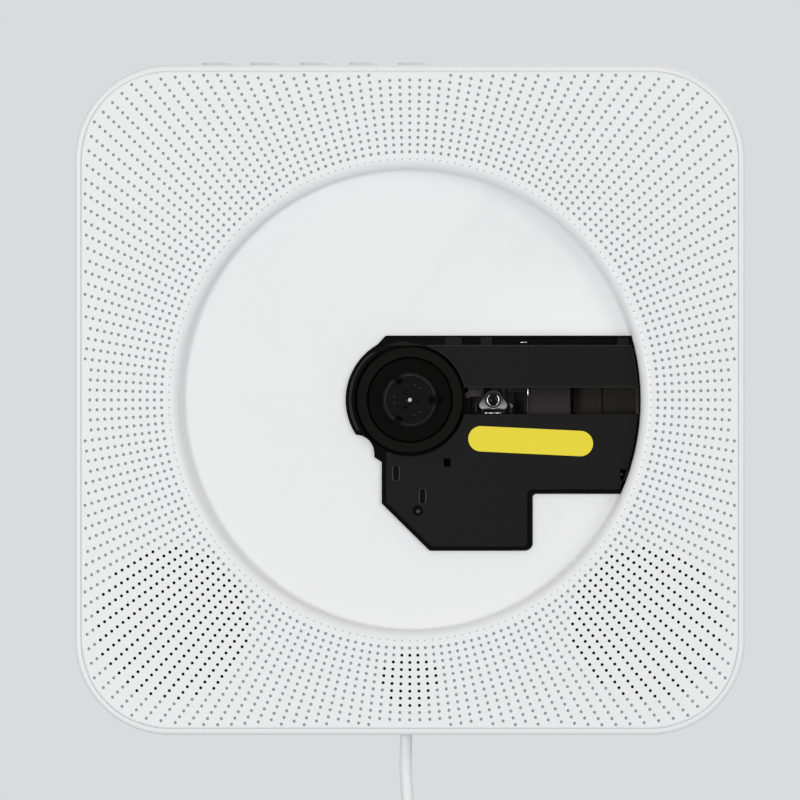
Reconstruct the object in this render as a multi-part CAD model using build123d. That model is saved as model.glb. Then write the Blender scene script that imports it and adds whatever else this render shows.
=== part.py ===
from build123d import *
import math
import os

# Wall mounted disc player: a white case with a perforated front moulding, whose open disc well shows the
# black deck, the turntable and the pick-up. A white cord hangs below and works the play switch when pulled.
# Frame: the origin is on the wall, in the middle of the bracket's screw pattern. X is to the right as seen
# from the room, +Z is up and the front faces -Y. Sizes are millimetres, and depths are given off the wall.

# ---- case and front ----
body_side = 195.0          # width and height of the case
case_corner_r = 27.5
case_wall = 2.6
case_back_wall = 2.2
case_back_gap = 1.0        # the rubber pads hold the case off the wall
case_back_round = 7.0
case_front_round = 1.1
rim_width = 1.65           # edge of the case seen round the front panel
rim_drop = 0.5             # how far that edge lies behind the panel's face
panel_gap = 0.15
panel_thick = 2.2
panel_edge_r = 0.6
pad_r = 5.0
pad_inset = 33.5           # from the case's side to the middle of a rubber pad

# ---- disc well ----
well_r = 67.3
well_depth = 8.0
well_wall = 2.2
well_floor_thick = 2.0
well_lip_r = 3.2
well_floor_round = 1.2

# ---- bracket ----
bracket_width = 88.0
bracket_height = 48.0
bracket_thick = 1.5
bracket_corner_r = 5.0
bracket_screw_x = 60.0     # spacing of the wall screws
bracket_screw_z = 30.0
bracket_screw_d = 4.5
hook_x = 14.0
hook_z = 13.0
hook_width = 6.0
hook_neck = 2.0
hook_rise = 4.0
hook_play = 0.1
pocket_margin = 4.0        # pocket of the case round the bracket
pocket_floor = 5.0         # off the wall

# ---- deck ----
deck_over_sled = 6.0       # from the sled's top to the raised face of the deck
deck_proud = 1.6           # how far that face stands above the well's floor
deck_border = 1.05         # width of the lower border round it
deck_border_drop = 0.4
deck_thick = 1.8
deck_skirt_gap = 0.6       # between the skirt's lower edge and the level of the sled's top
deck_skirt_wall = 1.4
deck_gap = 0.25            # between the deck and the well floor
deck_ring_r = 18.5
deck_left = -6.94
deck_upper = 18.51
deck_lower = -27.18
foot_left = -7.96
foot_right = 35.55
foot_lower = -43.77
foot_corner_x = 5.86       # where the foot's slanting corner starts
foot_corner_z = -30.09
foot_round = 2.0
foot_inner_round = 1.3
step_left = -10.14
step_z = -16.56
step_low = -18.02
notch_x = -15.76
notch_z = -15.54
notch_r = 5.6
shoulder_x = -9.3          # where the slanting upper left corner meets the ring
shoulder_z = 15.9
end_round = 1.0            # of the upper right corner, by the well's wall
recess_r = 16.2
recess_floor_thick = 1.0
recess_gap = 0.9           # between the turntable and the recess's floor
slot_high = 3.65
slot_low = -4.15
slot_inset = 1.3           # how far from the well's wall the slot ends
ear_r = 3.8
ear_thick = 1.8
ear_boss = 2.0             # height of the boss under the well floor that an ear is screwed to
ear_out = 5.69             # from the deck's upper edge to the ears above it
ear_web = 2.0              # half the width of the strip that joins an ear to the skirt

# ---- turntable, hub and catches ----
disc_over_deck = 2.0       # from the deck's raised face to the back of the disc
disc_thick = 1.2
table_r = 15.4
table_rim = 2.9
table_thick = 1.6
table_drop = 1.2           # how far its underside lies below the deck's face
pad_thick = 0.4
pad_width = 2.6
hub_r = 7.4
hub_height = 2.0           # above the back of the disc
hub_chamfer = 0.7
boss_r = 3.2
boss_length = 2.8
shaft_r = 1.0
shaft_proud = 0.35
turning_gap = 0.05
catch_width = 2.2
catch_length = 2.4
catch_proud = 0.9
catch_travel = 1.0
catch_gap = 0.1
catch_slot_r = 5.7         # inner end of the slot that shows each catch
catch_angles = (0.0, 120.0, 240.0)

# ---- mechanism ----
motor_gap = 1.2            # between the case's pocket and the motors
motor_height = 11.6
chassis_thick = 2.0
chassis_left = -26.0
chassis_upper = 30.0
chassis_lower = -32.0
bay_left = 14.0
bay_right = 50.0
bay_lower = -57.0
window_left = 14.5
window_right = 47.9
window_upper = 11.0
window_lower = -14.0
window_step_x = 50.5       # the window is wider below the level of the slot
window_step_z = -4.6
window_step_round = 2.0
bead_left = 54.5           # bead pressed into the chassis beyond the window
bead_right = 56.0
damper_inset = 6.0
damper_neck_r = 3.4
damper_r = 4.6
damper_flange = 1.4
damper_pin_r = 1.8
rod_r = 1.5
rod_over_chassis = 4.0
rod_spare = 0.6            # room between the sled's last place and each cradle
main_rod_z = 14.5
plain_rod_z = -18.0
cradle_length = 2.4
cradle_wide = 5.0
lens_x = 24.3
sled_left_of_lens = 9.5
sled_right_of_lens = 22.0
sled_gap = 0.7             # above the chassis
sled_height = 6.9
sled_upper = 11.0
sled_lower = -14.5
sled_in = 1.0              # travel towards the spindle from the first track
sled_out = 33.5            # travel to the last track
bush_r = 2.7
bush_length = 7.0
cover_thick = 0.6
holder_width = 8.5
holder_over_sled = 2.8
holder_height = 2.2

# ---- feed gears ----
gear_module = 0.6
pressure_angle = 25.0
tooth_slack = 0.12
tooth_head = 0.8           # tooth height above the pitch line, in modules
tooth_foot = 1.1
rack_z = -31.0             # pitch line of the rack
rack_thick = 2.8
rack_drop = 2.1            # from the sled's top to the rack's
feed_x = 44.0
pinion_teeth = 12
wheel_teeth = 36
motor_teeth = 10
motor_bearing = 217.0      # direction from the feed gear to the motor, in degrees
wheel_thick = 1.5
motor_r = 12.2
motor_sides = 24

# ---- boards ----
board_thick = 1.6
board_low = 12.0
board_left = -58.0
board_right = 58.0
board_top_gap = 15.5       # from the case's upper side to the board's edge
board_lower = 36.0
board_inset = 4.0
standoff_r = 3.0
ribbon_thick = 0.3
ribbon_left = 51.5
ribbon_right = 56.5
connector_height = 4.0

# ---- keys ----
key_count = 5
key_first_x = -56.45
key_pitch = 14.32
key_length = 8.8
key_depth = 4.4
key_off_wall = 22.0
key_proud = 1.2
key_round = 0.5
key_gap = 0.12
key_flange = 1.4
key_flange_margin = 1.1
key_leg_r = 1.6
switch_side = 6.0
switch_height = 3.4
key_leg_length = 3.08
key_board_depth = 16.0

# ---- speakers ----
speaker_bearing = 43.295   # direction of each speaker below the level of the well's middle, in degrees
speaker_side_gap = 1.7     # to the case's side wall
speaker_well_gap = 1.577   # to the wall of the well
speaker_rim = 2.8          # width of the frame's flat rim
speaker_flange = 1.4
speaker_neck_r = 12.0
speaker_wall = 0.8
speaker_deep = 13.8        # from the panel's back to the back of the basket
magnet_r = 15.0
magnet_thick = 7.5
cone_edge = 2.5            # from the cone's edge to the basket's
cone_neck_r = 6.0
cone_sunk = 2.4            # below the panel's back
cone_deep = 6.4
cone_thick = 0.6
collar_gap = 0.3
collar_thick = 1.0

# ---- remote sensor ----
sensor_share = 0.4291      # how far it sits across the strip between the well and the lower side
sensor_post = 4.4
sensor_board_half = 13.0   # half the width of its board
sensor_board_down = 0.378  # shares of that strip which the board takes below and above the sensor
sensor_board_up = 0.168

# ---- pull switch and cord ----
cord_x = -1.0
cord_off_wall = 20.0
cord_d = 3.6
cord_play = 0.35
cord_inside = 11.5         # length of cord above the case's lower side
bush_out_r = 3.6
bush_flange_r = 4.8
bush_flange = 1.2
clamp_r = 4.0
clamp_length = 7.0
spring_r = 3.5
spring_wall = 0.7
housing_half = 7.0
housing_wall = 1.6
housing_height = 19.6
housing_inset = 3.9        # above the case's lower side
coil_outer_r = 27.0        # centre line of the outermost turn
coil_pitch = 4.15
coil_layers = 4
coil_start = 52.0          # angle at which the cord joins the coil, in degrees from +X
coil_turns = 11 + coil_start / 360.0
coil_sides = 6
tie_angle = 25.0
tie_width = 5.0
tie_thick = 0.8
tie_gap = 0.4
plug_grip = (15.6, 8.0, 22.0)
plug_shell = (12.0, 4.5, 11.8)
plug_sleeve_length = 12.0
plug_sleeve_r = 2.6
plug_lead = 11.0           # straight end of the coil above the plug

# ---- headphone socket ----
jack_z = 50.0
jack_off_wall = 20.0
jack_bore_r = 1.8
jack_nose_r = 2.9
jack_body = (12.0, 6.4, 6.0)
jack_depth = 14.0

# ---- screws ----
screw_shank_r = 1.0
screw_head_r = 2.1
screw_head = 1.4
screw_length = 4.6
screw_sides = 6
screw_gap = 0.1
case_screw_inset = 17.5    # of the upper two, from the case's sides
case_screw_low = 11.5      # of the lower two, from the case's lower side
case_screw_low_x = 40.0
case_screw_r = 1.25
case_screw_head_r = 2.7
case_screw_head = 2.0
case_screw_seat = 20.0     # off the wall
case_screw_short = 3.8     # how far the screws end behind the panel
case_boss_r = 4.2

# ---- depths off the wall, from the back to the front ----
case_floor = case_back_gap + case_back_wall
pocket_inner = pocket_floor + case_back_wall
motor_low = pocket_inner + motor_gap
chassis_low = motor_low + motor_height
chassis_top = chassis_low + chassis_thick
rod_height = chassis_top + rod_over_chassis
sled_low = chassis_top + sled_gap
sled_top = sled_low + sled_height
rack_top = sled_top - rack_drop
rack_low = rack_top - rack_thick
wheel_low = sled_low
holder_low = sled_top + holder_over_sled
deck_top = sled_top + deck_over_sled
deck_border_top = deck_top - deck_border_drop
deck_under = deck_top - deck_thick
deck_skirt_low = sled_top + deck_skirt_gap
well_floor = deck_top - deck_proud
well_under = well_floor - well_floor_thick
ear_low = well_under - ear_boss - ear_thick
body_depth = well_floor + well_depth
case_front = body_depth - rim_drop
panel_back = body_depth - panel_thick
table_low = deck_top - table_drop
table_seat = table_low + table_thick
boss_low = table_low - boss_length
recess_floor = table_low - recess_gap
recess_under = recess_floor - recess_floor_thick
disc_seat = deck_top + disc_over_deck
table_top = disc_seat - pad_thick
hub_top = disc_seat + hub_height
shaft_top = hub_top + shaft_proud
speaker_back = panel_back - speaker_deep
magnet_back = speaker_back - magnet_thick
cone_front = panel_back - cone_sunk
cone_back = cone_front - cone_deep
board_top = board_low + board_thick
case_screw_end = panel_back - case_screw_short

# ---- places worked out from the sizes ----
half_side = body_side / 2
inner_side = half_side - case_wall
panel_side = body_side - 2 * (rim_width + panel_gap)
panel_corner_r = case_corner_r - rim_width - panel_gap
pad_at = half_side - pad_inset
pocket_width = bracket_width + 2 * pocket_margin
pocket_height = bracket_height + 2 * pocket_margin
slot_right = well_r - slot_inset
ear_places = (
    (4.0, deck_upper + ear_out),
    (50.0, deck_upper + ear_out),
    (foot_right + 7.25, foot_lower + 2.77),
    (foot_left - 5.64, deck_lower + 1.78),
)
sled_left = lens_x - sled_left_of_lens
sled_right = lens_x + sled_right_of_lens
rod_left = sled_left - sled_in - rod_spare - cradle_length
rod_right = sled_right + sled_out + rod_spare + cradle_length
chassis_right = (rod_right + inner_side) / 2
damper_places = [
    (x, z)
    for x in (chassis_left + damper_inset, chassis_right - damper_inset)
    for z in (chassis_upper - damper_inset, chassis_lower + damper_inset)
]
pinion_r = gear_module * pinion_teeth / 2
wheel_r = gear_module * wheel_teeth / 2
motor_pinion_r = gear_module * motor_teeth / 2
feed_z = rack_z - pinion_r
feed_motor_x = feed_x + (wheel_r + motor_pinion_r) * math.cos(math.radians(motor_bearing))
feed_motor_z = feed_z + (wheel_r + motor_pinion_r) * math.sin(math.radians(motor_bearing))
board_upper = half_side - board_top_gap
board_holes = [
    (x, z)
    for x in (board_left + board_inset, board_right - board_inset)
    for z in (board_lower + board_inset, board_upper - board_inset)
]
connector_z = board_lower + 10
key_xs = [key_first_x + key_pitch * i for i in range(key_count)]
key_flange_top = inner_side - key_gap
switch_top = key_flange_top - key_flange - key_leg_length
key_board_top = switch_top - switch_height
key_board_left = key_xs[0] - 8.0
key_board_right = key_xs[-1] + 8.0
# each speaker fills the corner between the well and the case's side
speaker_way = (math.cos(math.radians(speaker_bearing)), -math.sin(math.radians(speaker_bearing)))
well_reach = well_r + well_wall + speaker_well_gap
speaker_r = (inner_side - speaker_side_gap - well_reach * speaker_way[0]) / (1 + speaker_way[0])
speaker_x = (well_reach + speaker_r) * speaker_way[0]
speaker_z = (well_reach + speaker_r) * speaker_way[1]
speaker_basket_r = speaker_r - speaker_rim
cone_r = speaker_basket_r - cone_edge
strip_width = inner_side - well_reach
sensor_z = -well_reach - sensor_share * strip_width
sensor_board_low = sensor_z - sensor_board_down * strip_width
cord_top = cord_inside - half_side
cord_r = cord_d / 2
housing_low = housing_inset - half_side
housing_top = housing_low + housing_height
case_screw_places = (
    (case_screw_inset - half_side, half_side - case_screw_inset),
    (half_side - case_screw_inset, half_side - case_screw_inset),
    (-case_screw_low_x, case_screw_low - half_side),
    (case_screw_low_x, case_screw_low - half_side),
)


# ---- drawing helpers ----
def room_plane(off_wall, x=0.0, z=0.0):
    """Plane that faces the room at a distance off the wall, with X to the right and Z up."""
    return Plane(origin=(x, -off_wall, z), x_dir=(1, 0, 0), z_dir=(0, -1, 0))


def slab(outline, low, high, x=0.0, z=0.0):
    """Solid of an outline drawn in X and Z, from low to high off the wall."""
    return extrude(room_plane(low, x, z) * outline, amount=high - low)


def bar(x_low, x_high, low, high, z_low, z_high):
    """Rectangular block between two depths off the wall."""
    outline = Pos((x_low + x_high) / 2, (z_low + z_high) / 2) * Rectangle(x_high - x_low, z_high - z_low)
    return slab(outline, low, high)


def round_bar(radius, low, high, x=0.0, z=0.0, sides=None):
    """Cylinder that stands off the wall, or a prism of a few sides where nobody sees it."""
    outline = Circle(radius) if sides is None else RegularPolygon(radius, sides)
    return slab(outline, low, high, x, z)


def turned(points, x=0.0, z=0.0):
    """Solid turned about an axis square to the wall from (radius, off the wall) points."""
    plane = Plane(origin=(x, 0, z), x_dir=(1, 0, 0), z_dir=(0, 0, -1))
    profile = make_face(Polyline(*points, close=True))
    return revolve(plane * profile, Axis((x, 0, z), (0, -1, 0)), 360)


def along_x(outline, x_low, x_high, off_wall, z):
    """Solid of an outline drawn round a line that runs along X."""
    plane = Plane(origin=(x_low, -off_wall, z), x_dir=(0, 1, 0), z_dir=(1, 0, 0))
    return extrude(plane * outline, amount=x_high - x_low)


def along_z(outline, z_low, z_high, x, off_wall):
    """Solid of an outline drawn in X and Y, from one height to another."""
    plane = Plane(origin=(x, -off_wall, z_low), x_dir=(1, 0, 0), z_dir=(0, 0, 1))
    return extrude(plane * outline, amount=z_high - z_low)


def corner_near(sketch, x, z):
    """The corner of a flat outline that lies nearest to a point."""
    return sketch.vertices().sort_by_distance((x, z, 0))[0]


def edges_at(solid, off_wall):
    """Edges of a solid that lie flat at one depth off the wall."""
    return solid.edges().filter_by_position(Axis.Y, -off_wall - 0.001, -off_wall + 0.001)


# ---- case ----
def case_block(side, corner_r, low, high, back_round):
    block = slab(RectangleRounded(side, side, corner_r), low, high)
    return fillet(edges_at(block, low), back_round)


def vent_slots():
    slots = [Pos(x, 62) * SlotOverall(26, 2.4, rotation=90) for x in range(-28, 29, 8)]
    return slab(Sketch() + slots, 0, case_floor + 1)


def key_opening(x):
    outline = SlotOverall(key_length + 2 * key_gap, key_depth + 2 * key_gap)
    return along_z(outline, inner_side - 1, half_side + 1, x, key_off_wall)


def rear_case():
    body = case_block(body_side, case_corner_r, case_back_gap, case_front, case_back_round)
    body = fillet(edges_at(body, case_front), case_front_round)
    inner_r = case_corner_r - case_wall
    body -= case_block(2 * inner_side, inner_r, case_floor, body_depth + 1, case_back_round - case_wall)
    seat_side = panel_side + 2 * panel_gap
    seat = RectangleRounded(seat_side, seat_side, panel_corner_r + panel_gap)
    body -= slab(seat, panel_back, body_depth + 1)
    # pocket for the bracket, with a slot for each hook
    lip = 2 * case_back_wall
    corner = bracket_corner_r + pocket_margin / 2
    shell = RectangleRounded(pocket_width + lip, pocket_height + lip, corner)
    body += slab(shell, case_back_gap, pocket_inner)
    body -= slab(RectangleRounded(pocket_width, pocket_height, corner), case_back_gap - 1, pocket_floor)
    for x in (-hook_x, hook_x):
        for z in (-hook_z, hook_z):
            low = z - hook_neck / 2 - hook_rise - 2 * hook_play
            high = z + hook_neck / 2 + hook_play
            reach = hook_width / 2 + 0.5
            body -= bar(x - reach, x + reach, pocket_floor - 1, pocket_inner + 1, low, high)
    # columns for the long screws that hold the front panel
    for x, z in case_screw_places:
        body += round_bar(case_boss_r, case_floor - 1, case_screw_seat + 2, x, z)
        body -= round_bar(case_screw_head_r + 0.4, case_back_gap - 1, case_screw_seat, x, z)
        body -= round_bar(case_screw_r + 0.3, case_screw_seat - 1, case_screw_seat + 3, x, z)
    # posts for the rubber dampers and stand-offs for the main board
    for x, z in damper_places:
        inside_pocket = abs(x) < pocket_width / 2 and abs(z) < pocket_height / 2
        base = pocket_floor + 1 if inside_pocket else case_floor - 1
        body += round_bar(damper_pin_r + 1.2, base, chassis_low - damper_flange, x, z, 12)
        body += round_bar(damper_pin_r, base, chassis_top + damper_flange, x, z, 12)
        body -= round_bar(screw_shank_r + screw_gap, chassis_low - 3, chassis_top + 3, x, z, 8)
    for x, z in board_holes:
        body += round_bar(standoff_r, case_floor - 1, board_low, x, z, 12)
        body -= round_bar(screw_shank_r + screw_gap, case_floor + 2, board_low + 1, x, z, 8)
    body -= vent_slots()
    # ribs that hold the two ends of the key board
    for x, inward in ((key_board_left, 1), (key_board_right, -1)):
        x_low, x_high = sorted((x - 2.5 * inward, x + 1.5 * inward))
        rib_low = key_off_wall - key_board_depth / 2 - 3
        rib = bar(x_low, x_high, rib_low, key_off_wall + 7, key_board_top - 4.4, inner_side + 1)
        groove_x = sorted((x - 0.1 * inward, x + 3 * inward))
        groove_z = (key_board_top - board_thick - 0.1, key_board_top + 0.1)
        rib -= bar(*groove_x, rib_low + 2.9, body_depth, *groove_z)
        body += rib
    for x in key_xs:
        body -= key_opening(x)
    # mouth of the cord's bush and of the headphone socket
    body -= along_z(Circle(bush_out_r), -half_side - 1, 1 - inner_side, cord_x, cord_off_wall)
    body -= along_x(Circle(jack_nose_r + 0.1), inner_side - 1, half_side + 1, jack_off_wall, jack_z)
    # feet of the pull switch
    housing_back = cord_off_wall - housing_half
    for x in (cord_x - housing_half + 2, cord_x + housing_half - 2):
        body += bar(x - 1.5, x + 1.5, case_floor - 1, housing_back, housing_low + 3, housing_top - 3)
    return body


def speaker_places():
    return (("left", -speaker_x), ("right", speaker_x))


def front_panel():
    plate = slab(RectangleRounded(panel_side, panel_side, panel_corner_r), panel_back, body_depth)
    plate = fillet(edges_at(plate, body_depth), panel_edge_r)
    outer_r = well_r + well_wall
    plate -= round_bar(well_r + well_lip_r, panel_back - 1, body_depth + 1)
    lip_z = body_depth - well_lip_r
    floor_r = well_r - well_floor_round
    half_root = math.sqrt(0.5)
    lip_mid = (well_r + well_lip_r * (1 - half_root), body_depth - well_lip_r * (1 - half_root))
    floor_mid = (
        well_r - well_floor_round * (1 - half_root),
        well_floor + well_floor_round * (1 - half_root),
    )
    outline = [
        Line((0, well_floor), (floor_r, well_floor)),
        ThreePointArc((floor_r, well_floor), floor_mid, (well_r, well_floor + well_floor_round)),
        Line((well_r, well_floor + well_floor_round), (well_r, lip_z)),
        ThreePointArc((well_r, lip_z), lip_mid, (well_r + well_lip_r, body_depth)),
        Polyline(
            (well_r + well_lip_r, body_depth),
            (well_r + well_lip_r, panel_back),
            (outer_r, panel_back),
            (outer_r, well_under),
            (0, well_under),
            (0, well_floor),
        ),
    ]
    plane = Plane(origin=(0, 0, 0), x_dir=(1, 0, 0), z_dir=(0, 0, -1))
    well = revolve(plane * make_face(Curve() + outline), Axis((0, 0, 0), (0, -1, 0)), 360)
    panel = plate + well
    # opening for the deck, which bites a little into the well's wall where the deck meets it
    height = deck_upper - deck_lower + 2 * deck_gap
    bite = Pos(well_r - 5, (deck_upper + deck_lower) / 2) * Rectangle(14, height)
    opening = deck_outline(deck_gap) + (bite & Circle(well_r + deck_gap))
    panel -= slab(opening, well_under - 1, well_floor + well_floor_round + 0.5)
    for x, z in case_screw_places:
        panel += round_bar(case_boss_r, case_screw_seat + 2.2, panel_back + 1, x, z, 16)
        panel -= round_bar(case_screw_r + screw_gap, case_screw_seat + 2, case_screw_end + 0.5, x, z, 8)
    for x, z in ear_places:
        panel += round_bar(ear_r - 0.6, ear_low + ear_thick, well_under + 1, x, z, 12)
        panel -= round_bar(screw_shank_r + screw_gap, ear_low, well_floor - 0.7, x, z, 8)
    for _, x in speaker_places():
        inner = speaker_r + collar_gap
        ring = round_bar(inner + collar_thick, panel_back - 2.5, panel_back + 1, x, speaker_z)
        hollow = round_bar(inner, panel_back - 3, panel_back, x, speaker_z)
        panel += ring - hollow - round_bar(outer_r - 0.5, panel_back - 3, panel_back)
    for x in (-9.5, 9.5):
        panel += round_bar(1.6, panel_back - sensor_post, panel_back + 1, x, sensor_board_low + 2.0, 8)
    return panel


def case_screws():
    screws = Part()
    for x, z in case_screw_places:
        head_low = case_screw_seat - case_screw_head
        screws += round_bar(case_screw_head_r, head_low, case_screw_seat, x, z, 12)
        screws += round_bar(case_screw_r, head_low, case_screw_end, x, z, 8)
    return screws


def wall_bracket():
    plate = slab(RectangleRounded(bracket_width, bracket_height, bracket_corner_r), 0, bracket_thick)
    for x in (-bracket_screw_x / 2, bracket_screw_x / 2):
        for z in (-bracket_screw_z / 2, bracket_screw_z / 2):
            plate -= round_bar(bracket_screw_d / 2, -1, bracket_thick + 1, x, z)
    plate -= slab(SlotOverall(16, 6), -1, bracket_thick + 1)
    for x in (-hook_x, hook_x):
        for z in (-hook_z, hook_z):
            left, right = x - hook_width / 2, x + hook_width / 2
            low, high = z - hook_neck / 2, z + hook_neck / 2
            tip = pocket_inner + hook_play
            plate += bar(left, right, bracket_thick / 2, tip + bracket_thick, low, high)
            plate += bar(left, right, tip, tip + bracket_thick, low, high + hook_rise)
    return plate


def wall_pads():
    pads = [
        round_bar(pad_r, 0, case_back_gap, x, z, 16)
        for x in (-pad_at, pad_at)
        for z in (-pad_at, pad_at)
    ]
    return Part() + pads


# ---- deck ----
def deck_outline(grow=0.0):
    """Outline of the deck: a ring round the turntable, a long plate and a foot with a cut corner."""
    plate = Pos((deck_left + well_r) / 2, (deck_upper + deck_lower) / 2) * Rectangle(
        well_r - deck_left, deck_upper - deck_lower
    )
    foot = make_face(
        Polyline(
            (foot_left, 0),
            (foot_left, foot_corner_z),
            (foot_corner_x, foot_lower),
            (foot_right, foot_lower),
            (foot_right, 0),
            close=True,
        )
    )
    step = make_face(
        Polyline(
            (0, step_z + 8),
            (step_left, step_z + 8),
            (step_left, step_z),
            (foot_left, step_low),
            (0, step_low),
            close=True,
        )
    )
    shoulder = make_face(
        Polyline(
            (deck_left, deck_upper),
            (shoulder_x, shoulder_z),
            (shoulder_x, 0),
            (deck_left, 0),
            close=True,
        )
    )
    shape = (Circle(deck_ring_r) + plate + shoulder + foot + step) & Circle(well_r - deck_gap)
    shape -= Pos(notch_x, notch_z) * Circle(notch_r)
    shape = fillet(corner_near(shape, well_r, deck_upper), end_round)
    shape = fillet(corner_near(shape, foot_right, deck_lower), foot_inner_round)
    shape = fillet(corner_near(shape, foot_right, foot_lower), foot_round)
    shape = fillet(corner_near(shape, foot_corner_x, foot_lower), foot_inner_round)
    if grow:
        shape = offset(shape, grow)
    return shape


def cd_deck():
    deck = slab(deck_outline(), deck_skirt_low, deck_border_top)
    deck -= slab(deck_outline(-deck_skirt_wall), deck_skirt_low - 1, deck_under)
    deck += slab(deck_outline(-deck_border), deck_under, deck_top)
    # recess of the turntable, with a floor that is open round its boss
    tub = round_bar(recess_r + deck_skirt_wall, recess_under, deck_under)
    deck += tub & slab(deck_outline(), recess_under, deck_under)
    deck -= round_bar(recess_r, recess_floor, deck_top + 1)
    deck -= round_bar(boss_r + 1.3, boss_low, deck_top)
    # slot over the pick-up, which runs on into the recess and out past the skirt
    deck -= bar(recess_r - 4, slot_right, recess_floor, deck_top + 1, slot_low, slot_high)
    deck -= bar(recess_r, slot_right, boss_low, deck_top + 1, slot_low, slot_high)
    gate_z = (plain_rod_z - 4, deck_upper - deck_skirt_wall)
    deck -= bar(slot_right - 8, well_r + 1, deck_skirt_low - 1, sled_top + 2.4, *gate_z)
    # two locating holes, two small embossed pills, a dimple and the slots along the upper edge
    deck -= bar(9.9, 11.8, deck_under - 1, deck_top + 1, -19.4, -17.1)
    deck -= bar(61.2, 63.2, deck_under - 1, deck_top + 1, -23.2, -20.4)
    for x, z in ((-4.0, -21.3), (3.7, -27.9)):
        deck += slab(SlotOverall(4.6, 1.6, rotation=90), deck_top - 0.5, deck_top + 0.2, x, z)
    deck -= round_bar(1.45, deck_top - 0.6, deck_top + 1, 2.3, -32.3, 16)
    for left, right in ((15.2, 20.7), (24.0, well_r - 6.8)):
        deck -= bar(left, right, deck_under - 1, deck_top + 1, 16.3, 17.2)
        deck -= bar(left, right, deck_top - 1.5, deck_top + 1, 17.0, deck_upper - 0.25)
    # ears under the well floor, each joined to the nearest side of the skirt
    for x, z in ear_places:
        inside_x = min(max(x, foot_left + 1), foot_right - 1 if z < deck_lower else well_r)
        inside_z = min(z, deck_upper - 1)
        xs = sorted((x, inside_x)) if inside_x != x else (x - ear_web, x + ear_web)
        zs = sorted((z, inside_z)) if inside_z != z else (z - ear_web, z + ear_web)
        post_x = (inside_x - 0.4, inside_x + 0.5) if inside_x != x else xs
        post_z = (inside_z - 0.4, inside_z + 0.5) if inside_z != z else zs
        deck += round_bar(ear_r, ear_low, ear_low + ear_thick, x, z, 16)
        deck += bar(*xs, ear_low, ear_low + ear_thick, *zs) + bar(*post_x, ear_low, deck_under, *post_z)
        deck -= round_bar(screw_shank_r + screw_gap, ear_low - 1, ear_low + ear_thick + 1, x, z, 8)
    return deck


# ---- turntable ----
def turntable():
    return turned(
        [
            (shaft_r + 0.02, boss_low),
            (boss_r, boss_low),
            (boss_r, table_low),
            (table_r - 0.5, table_low),
            (table_r, table_low + 0.5),
            (table_r, table_top - 0.3),
            (table_r - 0.3, table_top),
            (table_r - table_rim, table_top),
            (table_r - table_rim - 0.5, table_seat),
            (shaft_r + 0.02, table_seat),
        ]
    )


def turntable_pad():
    outer = table_r - 0.15
    return round_bar(outer, table_top, disc_seat) - round_bar(outer - pad_width, table_top - 1, disc_seat + 1)


def about_spindle(solid, angle):
    return solid.rotate(Axis((0, 0, 0), (0, -1, 0)), angle)


def catch_pocket(angle):
    """Slot that a catch slides in: covered near the middle, open to the room further out."""
    half = catch_width / 2 + catch_gap
    inner = hub_r - catch_length - catch_travel - catch_gap
    low, high = disc_seat + 0.25 - catch_gap, hub_top - 0.5
    pocket = bar(inner, hub_r + 1, low, high, -half, half)
    return about_spindle(pocket + bar(catch_slot_r, hub_r + 1, low, hub_top + 1, -half, half), angle)


def disc_hub():
    hub = turned(
        [
            (shaft_r + 0.02, table_seat),
            (hub_r + 0.6, table_seat),
            (hub_r, table_seat + 0.6),
            (hub_r, hub_top - hub_chamfer),
            (hub_r - hub_chamfer, hub_top),
            (shaft_r + 0.02, hub_top),
        ]
    )
    for angle in catch_angles:
        hub -= catch_pocket(angle)
    for angle in (0.0, 115.0, 240.0):
        x, z = 2.5 * math.cos(math.radians(angle)), 2.5 * math.sin(math.radians(angle))
        hub -= round_bar(0.55, hub_top - 1.2, hub_top + 1, x, z, 8)
    return hub


def disc_catch(angle):
    """Catch whose nose stands out over the disc's edge and slopes so that the disc can pass."""
    half = catch_width / 2
    block = bar(hub_r - catch_length, hub_r - 0.1, disc_seat + 0.25, disc_seat + 1.0, -half, half)
    disc_face = disc_seat + disc_thick
    back = catch_slot_r + catch_travel + catch_gap
    side = Polyline(
        (back, -disc_seat - 0.6),
        (hub_r - 0.1, -disc_seat - 0.6),
        (hub_r - 0.05, -disc_face - 0.05),
        (hub_r + catch_proud, -disc_face - 0.2),
        (hub_r + catch_proud, -disc_face - 0.35),
        (hub_r - 0.2, -hub_top + 0.1),
        (back, -hub_top + 0.1),
        close=True,
    )
    nose = extrude(Plane.XY.offset(-half) * make_face(side), amount=catch_width)
    return about_spindle(block + nose, angle)


def spindle_shaft():
    return round_bar(shaft_r, motor_low + 2, shaft_top - 0.35) + turned(
        [(0, shaft_top - 0.4), (shaft_r, shaft_top - 0.4), (shaft_r * 0.55, shaft_top), (0, shaft_top)]
    )


def motor(x, z):
    """Small flat-sided motor with a raised bearing seat."""
    can = RegularPolygon(motor_r, motor_sides) & Rectangle(2 * motor_r, 1.7 * motor_r)
    body = slab(can, motor_low, chassis_low, x, z)
    body += round_bar(2.8, motor_low - 0.8, motor_low + 1, x, z, 12)
    return body - round_bar(shaft_r + turning_gap, motor_low + 1.5, chassis_low + 1, x, z)


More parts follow.
